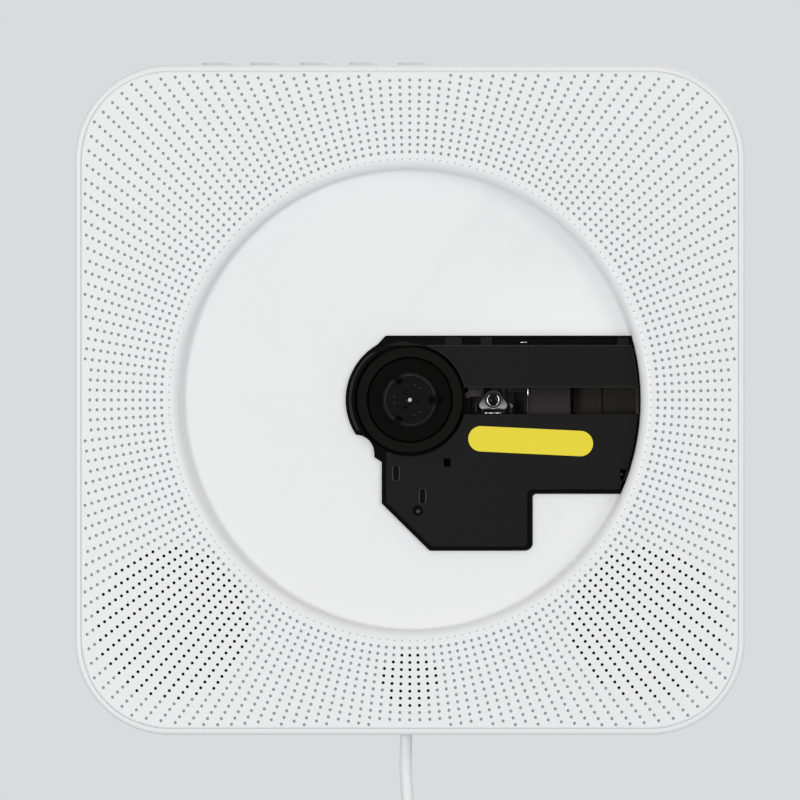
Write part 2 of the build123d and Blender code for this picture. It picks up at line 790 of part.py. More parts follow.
# ---- chassis ----
def mech_chassis():
    width = chassis_right - chassis_left
    height = chassis_upper - chassis_lower
    outline = Pos((chassis_left + chassis_right) / 2, (chassis_upper + chassis_lower) / 2) * RectangleRounded(
        width, height, 5
    )
    outline += Pos((bay_left + bay_right) / 2, (bay_lower + plain_rod_z) / 2) * RectangleRounded(
        bay_right - bay_left, plain_rod_z - bay_lower, 5
    )
    window = Pos((window_left + window_right) / 2, (window_upper + window_lower) / 2) * RectangleRounded(
        window_right - window_left, window_upper - window_lower, 3
    )
    window += Pos((bead_left + window_step_x) / 2 - 10, (window_step_z + window_lower) / 2) * Rectangle(
        window_step_x - bead_left + 20, window_step_z - window_lower
    )
    window = fillet(corner_near(window, window_right, window_step_z), window_step_round)
    plate = slab(outline - window, chassis_low, chassis_top)
    plate += bar(bead_left, bead_right, chassis_top - 1, chassis_top + 0.4, window_lower, window_upper)
    plate -= bar(bead_right, bead_right + 1.7, chassis_top - 0.8, chassis_top + 1, window_lower, window_upper)
    for x, z in damper_places:
        plate -= round_bar(damper_neck_r + 0.1, chassis_low - 1, chassis_top + 1, x, z, 16)
    plate -= round_bar(2.2, chassis_low - 1, chassis_top + 1)
    plate -= round_bar(2.2, chassis_low - 1, chassis_top + 1, feed_motor_x, feed_motor_z, 16)
    # cradles of the two guide rods
    for z in (main_rod_z, plain_rod_z):
        for x in (rod_left, rod_right - cradle_length):
            cradle_z = (z - cradle_wide / 2, z + cradle_wide / 2)
            plate += bar(x, x + cradle_length, chassis_top - 1, rod_height + 2.4, *cradle_z)
        plate -= along_x(Circle(rod_r + 0.02), rod_left - 1, rod_right + 1, rod_height, z)
    # pin of the feed gear, and stiffening ribs
    plate += round_bar(shaft_r, chassis_top - 1, rack_top + 0.4, feed_x, feed_z)
    for z in (chassis_upper - 1.2, chassis_lower + 1.2):
        plate += bar(chassis_left + 12, bay_left - 10, chassis_top - 1, chassis_top + 3, z - 0.6, z + 0.6)
    plate += bar(chassis_left + 0.6, chassis_left + 1.8, chassis_top - 1, chassis_top + 3, -20, 18)
    return plate


def mech_dampers():
    dampers = Part()
    for x, z in damper_places:
        spool = round_bar(damper_neck_r, chassis_low - damper_flange, chassis_top + damper_flange, x, z, 16)
        for low in (chassis_low - damper_flange, chassis_top):
            spool += round_bar(damper_r, low, low + damper_flange, x, z, 16)
        dampers += spool - round_bar(damper_pin_r + 0.05, chassis_low - 4, chassis_top + 4, x, z, 12)
    return dampers


def inner_screw(x, z, seat, up):
    """Small tapping screw whose head rests on a seat, pointing into the room or at the wall."""
    way = 1 if up else -1
    head = sorted((seat, seat - way * screw_head))
    shank = sorted((seat - way * 0.5, seat + way * screw_length))
    screw = round_bar(screw_head_r, *head, x, z, screw_sides)
    return screw + round_bar(screw_shank_r, *shank, x, z, screw_sides)


def inner_screws():
    screws = [inner_screw(x, z, chassis_top + damper_flange, False) for x, z in damper_places]
    screws += [inner_screw(x, z, board_top, False) for x, z in board_holes]
    screws += [inner_screw(x, z, ear_low, True) for x, z in ear_places]
    return Part() + screws


def guide_rod(z):
    return along_x(Circle(rod_r), rod_left, rod_right, rod_height, z)


# ---- pick-up ----
def pickup_sled():
    block = bar(sled_left, sled_right, sled_low, sled_top, sled_lower, sled_upper)
    block -= bar(sled_left + 3, sled_left + 18.6, sled_low + 2, sled_top + 1, -8.5, 8.0)
    # bearing tubes on the main rod and a fork on the plain one
    for x in (sled_left, sled_right - bush_length):
        tube = along_x(Circle(bush_r), x, x + bush_length, rod_height, main_rod_z)
        block += tube + bar(x, x + bush_length, sled_low, rod_height + 1.5, sled_upper - 1, main_rod_z)
    block -= along_x(Circle(rod_r + turning_gap), sled_left - 1, sled_right + 1, rod_height, main_rod_z)
    fork_x = lens_x + 1
    block += bar(fork_x, fork_x + 9, sled_low, sled_top, plain_rod_z - 3, sled_lower + 1)
    low, high = rod_height - rod_r - turning_gap, rod_height + rod_r + turning_gap
    block -= bar(fork_x - 1, fork_x + 10, low, high, plain_rod_z - 4, plain_rod_z + 2)
    # arm that carries the rack, and the raised bracket beside the lens
    block += bar(sled_right - 18, sled_right - 11, rack_top + 0.5, sled_top, -30, sled_lower + 1)
    block += bar(sled_right - 18, sled_right - 11, rack_top, rack_top + 1, -30, plain_rod_z - 4)
    block += bar(sled_left + 2.1, sled_left + 5.2, sled_top - 1, sled_top + 2.2, 0.9, 8.5)
    block += bar(lens_x + 4.8, lens_x + 9.9, sled_top - 1, sled_top + 0.9, 2.3, 8.5)
    return block


def pickup_cover():
    left, right = lens_x + 10.0, sled_right + 0.5
    plate = bar(left, right, sled_top, sled_top + cover_thick, sled_lower + 2, sled_upper - 1)
    foot = bar(right - 2, right + 1.6, sled_top, sled_top + cover_thick, sled_lower + 2, window_step_z)
    plate += bar(left, left + 0.4, sled_top, sled_top + 2.0, 1.3, 3.5)
    return plate + foot - bar(left + 4, left + 8, sled_top - 1, sled_top + 2, -9.5, -6.5)


def focus_yoke():
    """Steel yoke round the focus coil, with a pole inside the coil and two upright tabs."""
    low = sled_low + 2
    yoke = bar(lens_x - 6.1, lens_x + 6.1, low, low + 0.8, -7.6, 7.4)
    for z in (-7.6, 6.6):
        yoke += bar(lens_x - 3.6, lens_x + 4.5, low, sled_top + 1.4, z, z + 0.8)
    yoke += bar(lens_x - 2.3, lens_x + 2.3, low, holder_low - 0.6, -4.05, -3.5)
    for x in (lens_x - 5.0, lens_x + 5.1):
        yoke += bar(x - 0.25, x + 0.25, low, holder_low + 0.4, -3.7, -1.4)
    return yoke


def lens_holder():
    """Bell-shaped holder on the frame that carries the focus coil."""
    half = holder_width / 2
    corners = [(-half, -1.6), (-half + 1.2, -2.9), (half - 1.2, -2.9), (half, -1.6), (1.6, 2.6), (-1.6, 2.6)]
    plan = make_face(Polyline(*corners, close=True))
    top = holder_low + holder_height
    coil_low = sled_top - 0.6
    holder = slab(fillet(plan.vertices(), 0.8), holder_low, top, lens_x)
    holder += round_bar(2.6, top, top + 0.4, lens_x)
    holder -= round_bar(1.95, coil_low, top + 1, lens_x)
    coil = bar(lens_x - 3.4, lens_x + 3.4, coil_low, holder_low, -5.6, 5.4)
    return holder + coil - bar(lens_x - 2.7, lens_x + 2.7, coil_low - 1, holder_low, -4.4, 4.2)


def objective_lens():
    curve = [(0, 0.8), (1.9, 0.8), (1.9, 2.1), (1.5, 2.5), (0.8, 2.8), (0, 2.9)]
    return turned([(radius, holder_low + height) for radius, height in curve], lens_x)


# ---- feed gears ----
def tooth_points(teeth):
    """Points of half a tooth: its half angle at the root, pitch and tip circles, from the involute."""
    pitch_r = gear_module * teeth / 2
    base_r = pitch_r * math.cos(math.radians(pressure_angle))
    root_r = pitch_r - tooth_foot * gear_module
    tip_r = pitch_r + tooth_head * gear_module

    def involute(radius):
        angle = math.acos(min(1.0, base_r / radius))
        return math.tan(angle) - angle

    width = (math.pi * gear_module / 2 - tooth_slack) / (2 * pitch_r)
    points = []
    for radius in (root_r, pitch_r - 0.4 * gear_module, pitch_r, tip_r):
        points.append((radius, width + involute(pitch_r) - involute(max(radius, base_r))))
    return points


def gear_outline(teeth, first_tooth):
    """Flat outline of a gear with one tooth in a given direction, in degrees."""
    corners = []
    flank = tooth_points(teeth)
    for tooth in range(teeth):
        middle = math.radians(first_tooth) + 2 * math.pi * tooth / teeth
        side = [(radius, middle - angle) for radius, angle in flank]
        side += [(radius, middle + angle) for radius, angle in reversed(flank)]
        corners += [(radius * math.cos(angle), radius * math.sin(angle)) for radius, angle in side]
    return make_face(Polyline(*corners, close=True))


def feed_rack():
    pitch = math.pi * gear_module
    half = pitch / 4 - tooth_slack / 2
    slope = math.tan(math.radians(pressure_angle))
    tip = tooth_head * gear_module
    root = tooth_foot * gear_module
    before = int((sled_out + 3.0) / pitch)
    after = int((sled_in + 2.0) / pitch)
    left = feed_x - (before + 0.5) * pitch
    right = feed_x + (after + 0.5) * pitch
    corners = [(left, rack_z + 4.2), (left, rack_z + root)]
    for tooth in range(-before, after + 1):
        x = feed_x + tooth * pitch
        corners += [
            (x - half - root * slope, rack_z + root),
            (x - half + tip * slope, rack_z - tip),
            (x + half - tip * slope, rack_z - tip),
            (x + half + root * slope, rack_z + root),
        ]
    corners += [(right, rack_z + root), (right, rack_z + 4.2)]
    return slab(make_face(Polyline(*corners, close=True)), rack_low, rack_top)


def feed_gear():
    # the wheel has a tooth towards the motor, and the pinion a gap towards the rack
    wheel = slab(gear_outline(wheel_teeth, motor_bearing), wheel_low, wheel_low + wheel_thick, feed_x, feed_z)
    pinion = slab(gear_outline(pinion_teeth, 90 + 180 / pinion_teeth), wheel_low, rack_top, feed_x, feed_z)
    return wheel + pinion - round_bar(shaft_r + turning_gap, wheel_low - 1, rack_top + 1, feed_x, feed_z)


def feed_pinion():
    outline = gear_outline(motor_teeth, motor_bearing + 180 + 180 / motor_teeth)
    top = wheel_low + wheel_thick
    gear = slab(outline, wheel_low, top + 0.5, feed_motor_x, feed_motor_z)
    return gear + round_bar(shaft_r, motor_low + 2, top + 1.2, feed_motor_x, feed_motor_z)


def home_switch():
    # its lever ends just short of the sled's first place
    right = sled_left - sled_in - 0.6
    body = bar(right - 6.7, right - 0.6, chassis_top, chassis_top + 4, -11, -6)
    return body + bar(right - 0.6, right, chassis_top + 1, chassis_top + 3, -10, -7)


def mech_board():
    under = chassis_low - board_thick
    board = bar(ribbon_left - 1, chassis_right - 6.5, under, chassis_low, -17, 14)
    return board + bar(ribbon_left - 0.5, ribbon_right + 0.5, under - 2, under + 0.5, 6, 12)


def ribbon_cable():
    """Flat cable from the mechanism's board up to the main board."""
    start, end = chassis_low - board_thick - 1.2, board_top + 2.2
    strip = Polyline(
        (-start, 12),
        (-start, 30),
        (-end, connector_z),
        (-end - ribbon_thick, connector_z),
        (-start - ribbon_thick, 30),
        (-start - ribbon_thick, 12),
        close=True,
    )
    plane = Plane(origin=(ribbon_left, 0, 0), x_dir=(0, 1, 0), z_dir=(1, 0, 0))
    return extrude(plane * make_face(strip), amount=ribbon_right - ribbon_left)


# ---- boards ----
def main_board():
    board = bar(board_left, board_right, board_low, board_top, board_lower, board_upper)
    for x, z in board_holes:
        board -= round_bar(screw_shank_r + 0.3, board_low - 1, board_top + 1, x, z, 8)
    return board


def board_chips():
    chips = bar(-8, 6, board_top, board_top + 1.8, 52, 66) + bar(22, 32, board_top, board_top + 1.6, 58, 66)
    return chips + bar(-42, -22, board_top, board_top + 3.0, 44, 52)


def board_capacitors():
    places = ((-40, 66, 4.0, 12.0), (-29, 68, 4.0, 12.0), (-20, 62, 2.6, 8.0), (42, 66, 3.2, 9.0))
    return Part() + [round_bar(r, board_top, board_top + tall, x, z, 12) for x, z, r, tall in places]


def board_connectors():
    top = board_top + connector_height
    plug = bar(ribbon_left - 1, ribbon_right + 1, board_top, top, connector_z, connector_z + 5)
    sockets = bar(-54, -46, board_top, board_top + 5, 56, 62) + bar(12, 18, board_top, board_top + 5, 40, 46)
    return plug + sockets


# ---- keys ----
def button(x):
    """Key cap with a flange behind the case wall and a leg that works the switch."""
    top = half_side + key_proud
    cap = along_z(SlotOverall(key_length, key_depth), key_flange_top - 1, top, x, key_off_wall)
    cap = fillet(cap.edges().filter_by_position(Axis.Z, top - 0.001, top + 0.001), key_round)
    flange = SlotOverall(key_length + 2 * key_flange_margin, key_depth + 2 * key_flange_margin)
    cap += along_z(flange, key_flange_top - key_flange, key_flange_top, x, key_off_wall)
    return cap + along_z(Circle(key_leg_r), switch_top - 1.0, key_flange_top - 1, x, key_off_wall)


def button_board():
    low, high = key_off_wall - key_board_depth / 2, key_off_wall + key_board_depth / 2
    return bar(key_board_left, key_board_right, low, high, key_board_top - board_thick, key_board_top)


def button_switches():
    switches = Part()
    for x in key_xs:
        body = along_z(Rectangle(switch_side, switch_side), key_board_top, switch_top, x, key_off_wall)
        switches += body - along_z(Circle(key_leg_r + 0.2), switch_top - 1.8, switch_top + 1, x, key_off_wall)
    return switches


# ---- speakers ----
def speaker_frame(x):
    rim = panel_back - speaker_flange
    neck_in, basket_in = speaker_neck_r - speaker_wall, speaker_basket_r - speaker_wall
    outside = [
        (0, speaker_back),
        (speaker_neck_r, speaker_back),
        (speaker_basket_r, rim),
        (speaker_r, rim),
        (speaker_r, panel_back),
    ]
    inside = [
        (basket_in, panel_back),
        (basket_in, rim),
        (neck_in, speaker_back + 1.2),
        (0, speaker_back + 1.2),
    ]
    return turned(outside + inside, x, speaker_z)


def speaker_magnets():
    magnets = [round_bar(magnet_r, magnet_back, speaker_back, x, speaker_z, 24) for _, x in speaker_places()]
    return Part() + magnets


def speaker_cone(x):
    # coil former, paper cone and dust cap in one profile
    slope = (cone_r - cone_neck_r) / (cone_front - cone_back)
    behind = [
        (0, speaker_back + 1.8),
        (cone_neck_r, speaker_back + 1.8),
        (cone_neck_r, cone_back),
        (cone_r, cone_front),
    ]
    before = [
        (cone_r - cone_thick, cone_front),
        (cone_neck_r - cone_thick + 1.2 * slope, cone_back + 1.2),
        (2.5, cone_back + 3.4),
        (0, cone_back + 3.4),
    ]
    return turned(behind + before, x, speaker_z)


def sensor_board():
    low = panel_back - sensor_post - board_thick
    top = sensor_z + sensor_board_up * strip_width
    return bar(-sensor_board_half, sensor_board_half, low, low + board_thick, sensor_board_low, top)


def remote_sensor():
    low = panel_back - sensor_post
    body = bar(-3, 3, low, low + 2.6, sensor_z - 3.5, sensor_z + 3.5)
    return body + round_bar(2.2, low, low + 4.0, 0, sensor_z, 16)


# ---- pull switch ----
def pull_housing():
    low, high = cord_off_wall - housing_half, cord_off_wall + housing_half
    left, right = cord_x - housing_half, cord_x + housing_half
    box = bar(left, right, low, high, housing_low, housing_top)
    box -= bar(
        left + housing_wall,
        right - housing_wall,
        low + housing_wall,
        high + 1,
        housing_low + housing_wall,
        housing_top - housing_wall,
    )
    return box - along_z(Circle(cord_r + cord_play), housing_low - 1, housing_low + 3, cord_x, cord_off_wall)


def cord_clamp():
    top = cord_top + clamp_length
    body = along_z(Circle(clamp_r), cord_top, top, cord_x, cord_off_wall)
    return body + along_z(Rectangle(6, 6), top, top + 2, cord_x, cord_off_wall)


def pull_spring():
    tube = Circle(spring_r) - Circle(spring_r - spring_wall)
    return along_z(tube, housing_low + housing_wall, cord_top, cord_x, cord_off_wall)


def cord_bush():
    wall_in = -inner_side
    bush = along_z(Circle(bush_out_r - 0.02), -half_side - 0.4, wall_in, cord_x, cord_off_wall)
    bush += along_z(Circle(bush_flange_r), wall_in, wall_in + bush_flange, cord_x, cord_off_wall)
    return bush - along_z(Circle(cord_r + cord_play), -half_side - 2, wall_in + 3, cord_x, cord_off_wall)


# ---- cord ----
def coil_place(turn):
    """Centre line of the coil, a number of turns from its start: it spirals in and out, layer by layer."""
    per_layer = coil_turns / coil_layers
    layer = min(int(turn / per_layer), coil_layers - 1)
    inward = turn - layer * per_layer
    if layer % 2:
        inward = per_layer - inward
    radius = coil_outer_r - coil_pitch * inward
    # each layer is reached in the half turn about the place where the spiral turns back
    depth = cord_off_wall
    for change in range(1, coil_layers):
        part = min(max(turn - change * per_layer + 0.25, 0.0), 0.5) / 0.5
        depth -= coil_pitch * part * part * (3 - 2 * part)
    angle = math.radians(coil_start) - 2 * math.pi * turn
    return Vector(coil_x + radius * math.cos(angle), -depth, coil_z + radius * math.sin(angle))


def coil_heading(turn):
    """Direction of the centre line, which sets out along the lead and ends straight down."""
    if turn == 0:
        return Vector(math.sin(coil_lead), 0, -math.cos(coil_lead))
    if turn == coil_turns:
        return Vector(0, 0, -1)
    step = 1e-4
    low, high = max(turn - step, 0.0), min(turn + step, coil_turns)
    return (coil_place(high) - coil_place(low)).normalized()


def tangent_pair(start, start_way, end, end_way):
    """Two arcs that leave one place in one direction and reach the next in another."""
    chord = end - start
    ways = start_way + end_way
    spread = 2 * (1 - start_way.dot(end_way))
    along = chord.dot(ways)
    reach = (-along + math.sqrt(along * along + spread * chord.dot(chord))) / spread
    joint = (start + start_way * reach + end - end_way * reach) * 0.5
    first = Edge.make_tangent_arc(start, start_way, joint)
    return [first, Edge.make_tangent_arc(joint, first.tangent_at(1), end)]


# route of the hanging stretch, down to where it joins the coil
coil_lead = math.radians(coil_start)
lead_run = 12.0
route = [
    (cord_x, cord_top),
    (cord_x, cord_top - 11.6),
    (cord_x - 0.35, cord_top - 23.4),
    (cord_x + 0.8, cord_top - 35.0),
    (cord_x + 1.4, cord_top - 46.4),
]
for share in (0.5, 1.0):
    last_x, last_z = route[-1]
    turn_to = coil_lead * share
    route.append((last_x + lead_run * math.sin(turn_to), last_z - lead_run * math.cos(turn_to)))
coil_x = route[-1][0] + cord_d * math.sin(coil_lead) - coil_outer_r * math.cos(coil_lead)
coil_z = route[-1][1] - cord_d * math.cos(coil_lead) - coil_outer_r * math.sin(coil_lead)
coil_depth = cord_off_wall - coil_pitch * (coil_layers - 1)


def cord_run():
    """Hanging stretch of the cord: straight runs joined by tangent arcs."""
    points = [Vector(x, -cord_off_wall, z) for x, z in route]
    radii = []
    for before, here, after in zip(points, points[1:], points[2:]):
        turn = math.radians((here - before).get_angle(after - here))
        radii.append(0.45 * min((here - before).length, (after - here).length) / math.tan(turn / 2))
    print("cord radii", [round(r, 1) for r in radii])
    path = FilletPolyline(*points, radius=radii)
    ring = Plane(origin=points[0], z_dir=(0, 0, -1)) * Circle(cord_r)
    tube = sweep(ring, path=path)
    ratio = tube.volume / (math.pi * cord_r**2 * path.length)
    print("cord run", round(path.length, 1), "volume ratio", round(ratio, 4))
    return tube


def coil_path():
    """Arcs in pairs for each quarter turn, with a straight piece at both ends."""
    start = coil_place(0)
    edges = [Edge.make_line(start - coil_heading(0) * cord_d, start)]
    turns = [i / 4 for i in range(int(coil_turns * 4) + 1)] + [coil_turns]
    for low, high in zip(turns, turns[1:]):
        way = edges[-1].tangent_at(1)
        edges += tangent_pair(coil_place(low), way, coil_place(high), coil_heading(high))
    end = coil_place(coil_turns)
    edges.append(Edge.make_line(end, end + coil_heading(coil_turns) * plug_lead))
    return Wire(edges)


def least_gap(path):
    """Least gap of the coil to itself, measured on points along it."""
    count = 1600
    points = [path.position_at(i / count) for i in range(count + 1)]
    apart = int(count * 0.5 / coil_turns)
    least = min(
        (points[i] - points[j]).length
        for i in range(0, count + 1, 2)
        for j in range(i + apart, count + 1, 2)
    )
    return least - cord_d


def cord_coil():
    path = coil_path()
    ring = Plane(origin=path.position_at(0), z_dir=path.tangent_at(0)) * RegularPolygon(cord_r, coil_sides)
    tube = sweep(ring, path=path)
    print("coil length", round(path.length, 1), "gap", round(least_gap(path), 2))
    return tube


def cord_tie():
    """Band round the bundle, just below where the cord joins it."""
    inner_r = coil_outer_r - coil_pitch * coil_turns / coil_layers
    deep = coil_pitch * (coil_layers - 1)
    across = coil_outer_r - inner_r + cord_d + 2 * tie_gap
    wide = deep + cord_d + 2 * tie_gap
    outer = RectangleRounded(across + 2 * tie_thick, wide + 2 * tie_thick, 3)
    band = outer - RectangleRounded(across, wide, 3 - tie_thick)
    angle = math.radians(tie_angle)
    middle_r = (coil_outer_r + inner_r) / 2
    out = Vector(math.cos(angle), 0, math.sin(angle))
    side = Vector(-math.sin(angle), 0, math.cos(angle))
    middle = Vector(coil_x, -(cord_off_wall + coil_depth) / 2, coil_z) + out * middle_r
    plane = Plane(origin=middle - side * (tie_width / 2), x_dir=out, z_dir=side)
    return extrude(plane * band, amount=tie_width)


def plug_top():
    return coil_place(coil_turns).Z - plug_lead


def usb_plug_grip():
    width, thick, long = plug_grip
    x = coil_x + coil_outer_r
    top = plug_top()
    sleeve_low = top - plug_sleeve_length
    neck = Plane(origin=(x, -coil_depth, top)) * Circle(plug_sleeve_r)
    foot = Plane(origin=(x, -coil_depth, sleeve_low)) * Circle(plug_sleeve_r + 0.9)
    grip = along_z(RectangleRounded(width, thick, 2), sleeve_low - long, sleeve_low, x, coil_depth)
    grip = chamfer(grip.edges().filter_by_position(Axis.Z, sleeve_low - 0.001, sleeve_low + 0.001), 1.2)
    return grip + loft([foot, neck])


def usb_plug_shell():
    width, thick, long = plug_shell
    top = plug_top() - plug_sleeve_length - plug_grip[2]
    x = coil_x + coil_outer_r
    shell = along_z(Rectangle(width, thick), top - long, top, x, coil_depth)
    shell -= along_z(Rectangle(width - 0.6, thick - 0.6), top - long - 1, top - 1, x, coil_depth)
    tongue = Rectangle(width - 1, 1.8)
    return shell + along_z(tongue, top - long + 0.6, top - 0.5, x, coil_depth + thick / 4 - 0.3)


# ---- headphone socket ----
def jack_socket():
    long, deep, tall = jack_body
    low, high = jack_off_wall - deep / 2, jack_off_wall + deep / 2
    mouth = half_side - 0.3
    body = bar(inner_side - long, inner_side, low, high, jack_z - tall / 2, jack_z + tall / 2)
    body += along_x(Circle(jack_nose_r), inner_side - 1, mouth, jack_off_wall, jack_z)
    return body - along_x(Circle(jack_bore_r), mouth - jack_depth, half_side + 1, jack_off_wall, jack_z)


parts = {
    "rear_case": rear_case,
    "front_panel": front_panel,
    "case_screws": case_screws,
    "wall_bracket": wall_bracket,
    "wall_pads": wall_pads,
    "cd_deck": cd_deck,
    "turntable": turntable,
    "turntable_pad": turntable_pad,
    "disc_hub": disc_hub,
    "spindle_shaft": spindle_shaft,
    "mech_chassis": mech_chassis,
    "mech_dampers": mech_dampers,
    "inner_screws": inner_screws,
    "pickup_sled": pickup_sled,
    "pickup_cover": pickup_cover,
    "focus_yoke": focus_yoke,
    "lens_holder": lens_holder,
    "objective_lens": objective_lens,
    "feed_rack": feed_rack,
    "feed_gear": feed_gear,
    "feed_pinion": feed_pinion,
    "home_switch": home_switch,
    "mech_board": mech_board,
    "ribbon_cable": ribbon_cable,
    "main_board": main_board,
    "board_chips": board_chips,
    "board_capacitors": board_capacitors,
    "board_connectors": board_connectors,
    "button_board": button_board,
    "button_switches": button_switches,
    "speaker_magnets": speaker_magnets,
    "sensor_board": sensor_board,
    "remote_sensor": remote_sensor,
    "pull_housing": pull_housing,
    "cord_clamp": cord_clamp,
    "pull_spring": pull_spring,
    "cord_bush": cord_bush,
    "cord_run": cord_run,
    "cord_coil": cord_coil,
    "cord_tie": cord_tie,
    "usb_plug_grip": usb_plug_grip,
    "usb_plug_shell": usb_plug_shell,
    "jack_socket": jack_socket,
}

os.makedirs("parts", exist_ok=True)
for name, make in parts.items():
    export_step(make(), f"parts/{name}.step")
for letter, angle in zip("abc", catch_angles):
    export_step(disc_catch(angle), f"parts/disc_catch_{letter}.step")
for name, z in (("main_guide_rod", main_rod_z), ("plain_guide_rod", plain_rod_z)):
    export_step(guide_rod(z), f"parts/{name}.step")
for name, x, z in (("spindle_motor", 0.0, 0.0), ("feed_motor", feed_motor_x, feed_motor_z)):
    export_step(motor(x, z), f"parts/{name}.step")
for number, x in enumerate(key_xs, start=1):
    export_step(button(x), f"parts/button_{number}.step")
for side, x in speaker_places():
    export_step(speaker_frame(x), f"parts/speaker_frame_{side}.step")
    export_step(speaker_cone(x), f"parts/speaker_cone_{side}.step")
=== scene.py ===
import bpy
import bmesh
import math
from mathutils import Matrix, Vector


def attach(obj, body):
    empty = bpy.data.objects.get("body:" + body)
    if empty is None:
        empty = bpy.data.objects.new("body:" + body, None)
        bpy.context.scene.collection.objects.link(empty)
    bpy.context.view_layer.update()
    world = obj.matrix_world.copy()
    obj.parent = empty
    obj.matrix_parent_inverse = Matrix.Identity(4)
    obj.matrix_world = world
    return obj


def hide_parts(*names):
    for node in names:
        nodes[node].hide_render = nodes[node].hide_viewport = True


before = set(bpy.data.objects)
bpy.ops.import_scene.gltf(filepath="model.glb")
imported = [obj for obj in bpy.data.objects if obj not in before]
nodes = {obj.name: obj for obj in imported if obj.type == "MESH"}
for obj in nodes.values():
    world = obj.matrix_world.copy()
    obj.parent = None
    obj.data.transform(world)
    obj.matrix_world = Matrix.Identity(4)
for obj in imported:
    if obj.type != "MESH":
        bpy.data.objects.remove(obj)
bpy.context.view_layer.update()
mm = 0.001
creaseAngle = math.radians(34)   # steeper edges than this stay sharp
sameSpot = 1e-6                  # metres within which two places are one
print("frame loaded:", len(nodes), "nodes")


def linearColour(code, alpha=1.0):
    # sRGB hex to the linear numbers that shaders use
    parts = [int(code[i:i + 2], 16) / 255 for i in (0, 2, 4)]
    return tuple(c / 12.92 if c <= 0.04045 else ((c + 0.055) / 1.055) ** 2.4 for c in parts) + (alpha,)


def addNode(tree, kind, links=None, **settings):
    # one node: settings go to its properties or its inputs, links feed its inputs
    node = tree.nodes.new(kind)
    for key, value in settings.items():
        if hasattr(node, key):
            setattr(node, key, value)
        else:
            node.inputs[key.replace("_", " ")].default_value = value
    for key, source in (links or {}).items():
        tree.links.new(source, node.inputs[key])
    return node


def newMaterial(name):
    material = bpy.data.materials.new(name)
    material.use_nodes = True
    tree = material.node_tree
    tree.nodes.clear()
    shader = addNode(tree, "ShaderNodeBsdfPrincipled")
    output = addNode(tree, "ShaderNodeOutputMaterial")
    tree.links.new(shader.outputs[0], output.inputs[0])
    return material, tree, shader


def highlightIndex(normal):
    # 1 for a rounded or slanting edge towards the room, which gets a lighter material as a painted highlight, and 0
    # for other faces
    return 1 if 0.25 < -normal.y < 0.97 else 0


def makePiece(name, bm, materials, body, smooth=True):
    # turns a bmesh into an object at the origin that rides on a CAD body; smooth None keeps each face's own
    mesh = bpy.data.meshes.new(name)
    if smooth is not None:
        for face in bm.faces:
            face.smooth = smooth
    bm.to_mesh(mesh)
    bm.free()
    piece = bpy.data.objects.new(name, mesh)
    bpy.context.scene.collection.objects.link(piece)
    for material in materials:
        mesh.materials.append(material)
    if smooth is not False:
        split = piece.modifiers.new("crease", "EDGE_SPLIT")
        split.split_angle = creaseAngle
    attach(piece, body)
    return piece


def toRoom(x, offWall, z):
    # millimetres right, off the wall and up, in the row frame's metres
    return Vector((x * mm, -offWall * mm, z * mm))


# camera, square on to the front as in the photograph
view = {
    "image": 800,
    "scale": 3.4359,           # pixels to a millimetre of the front face
    "across": -9.85,           # pixels by which the camera is off the part's middle
    "up": -0.1,
    "distance": 4.0,           # metres before the front face
    "front": 0.042,
    "sensor": 36.0,
    "near": 0.1,
    "far": 40.0,
}
cameraData = bpy.data.cameras.new("camera")
camera = bpy.data.objects.new("camera", cameraData)
bpy.context.scene.collection.objects.link(camera)
bpy.context.scene.camera = camera
cameraData.sensor_width = view["sensor"]
cameraData.lens = view["sensor"] * view["scale"] * 1000 * view["distance"] / view["image"]
cameraData.clip_start, cameraData.clip_end = view["near"], view["far"]
camera.location = (
    view["across"] / view["scale"] * mm,
    -view["front"] - view["distance"],
    view["up"] / view["scale"] * mm,
)
camera.rotation_euler = (math.radians(90), 0, 0)
print("camera placed")


# cord: one line from the clamp through the coil to the plug, in millimetres
cordShape = {
    "diameter": 3.6,
    "offWall": 20.0,
    "route": [(-1.0, -86.0), (-1.0, -97.6), (-1.35, -109.4), (-0.2, -121.0), (0.4, -132.4)],
    "leadRun": 12.0,           # two more runs turn the cord into the coil
    "coilStart": 52.0,         # degrees from +X
    "coilRadius": 27.0,
    "cutIn": 0.006,            # share by which the spline runs inside its points
    "pitch": 4.15,
    "layers": 4,
    "layerChange": 0.5,        # turns that the step to the next layer takes
    "turns": 11 + 52.0 / 360,
    "perTurn": 16,
    "plugLead": 11.0,
}


def cordPoints(shape):
    points = [Vector((x, -shape["offWall"], z)) for x, z in shape["route"]]
    lead = math.radians(shape["coilStart"])
    for share in (0.5, 1.0):
        way = Vector((math.sin(lead * share), 0, -math.cos(lead * share)))
        points.append(points[-1] + way * shape["leadRun"])
    way = Vector((math.sin(lead), 0, -math.cos(lead)))
    start = points[-1] + way * shape["diameter"]
    outer, pitch, blend = shape["coilRadius"], shape["pitch"], shape["layerChange"]
    centre = start - Vector((math.cos(lead), 0, math.sin(lead))) * outer
    perLayer = shape["turns"] / shape["layers"]
    count = round(shape["turns"] * shape["perTurn"])
    for step in range(count + 1):
        turn = shape["turns"] * step / count
        layer = min(int(turn / perLayer), shape["layers"] - 1)
        inward = turn - layer * perLayer
        if layer % 2:
            inward = perLayer - inward
        offWall = shape["offWall"]
        for change in range(1, shape["layers"]):
            part = min(max(turn - change * perLayer + blend / 2, 0.0), blend) / blend
            offWall -= pitch * part * part * (3 - 2 * part)
        angle = lead - 2 * math.pi * turn
        radius = (outer - pitch * inward) * (1 + shape["cutIn"])
        points.append(centre + Vector((radius * math.cos(angle), -offWall - centre.y, radius * math.sin(angle))))
    points[-1] = points[-1] - Vector((outer * shape["cutIn"], 0, 0))
    for _ in range(2):
        points.append(points[-1] - Vector((0, 0, shape["plugLead"] / 2)))
    return points


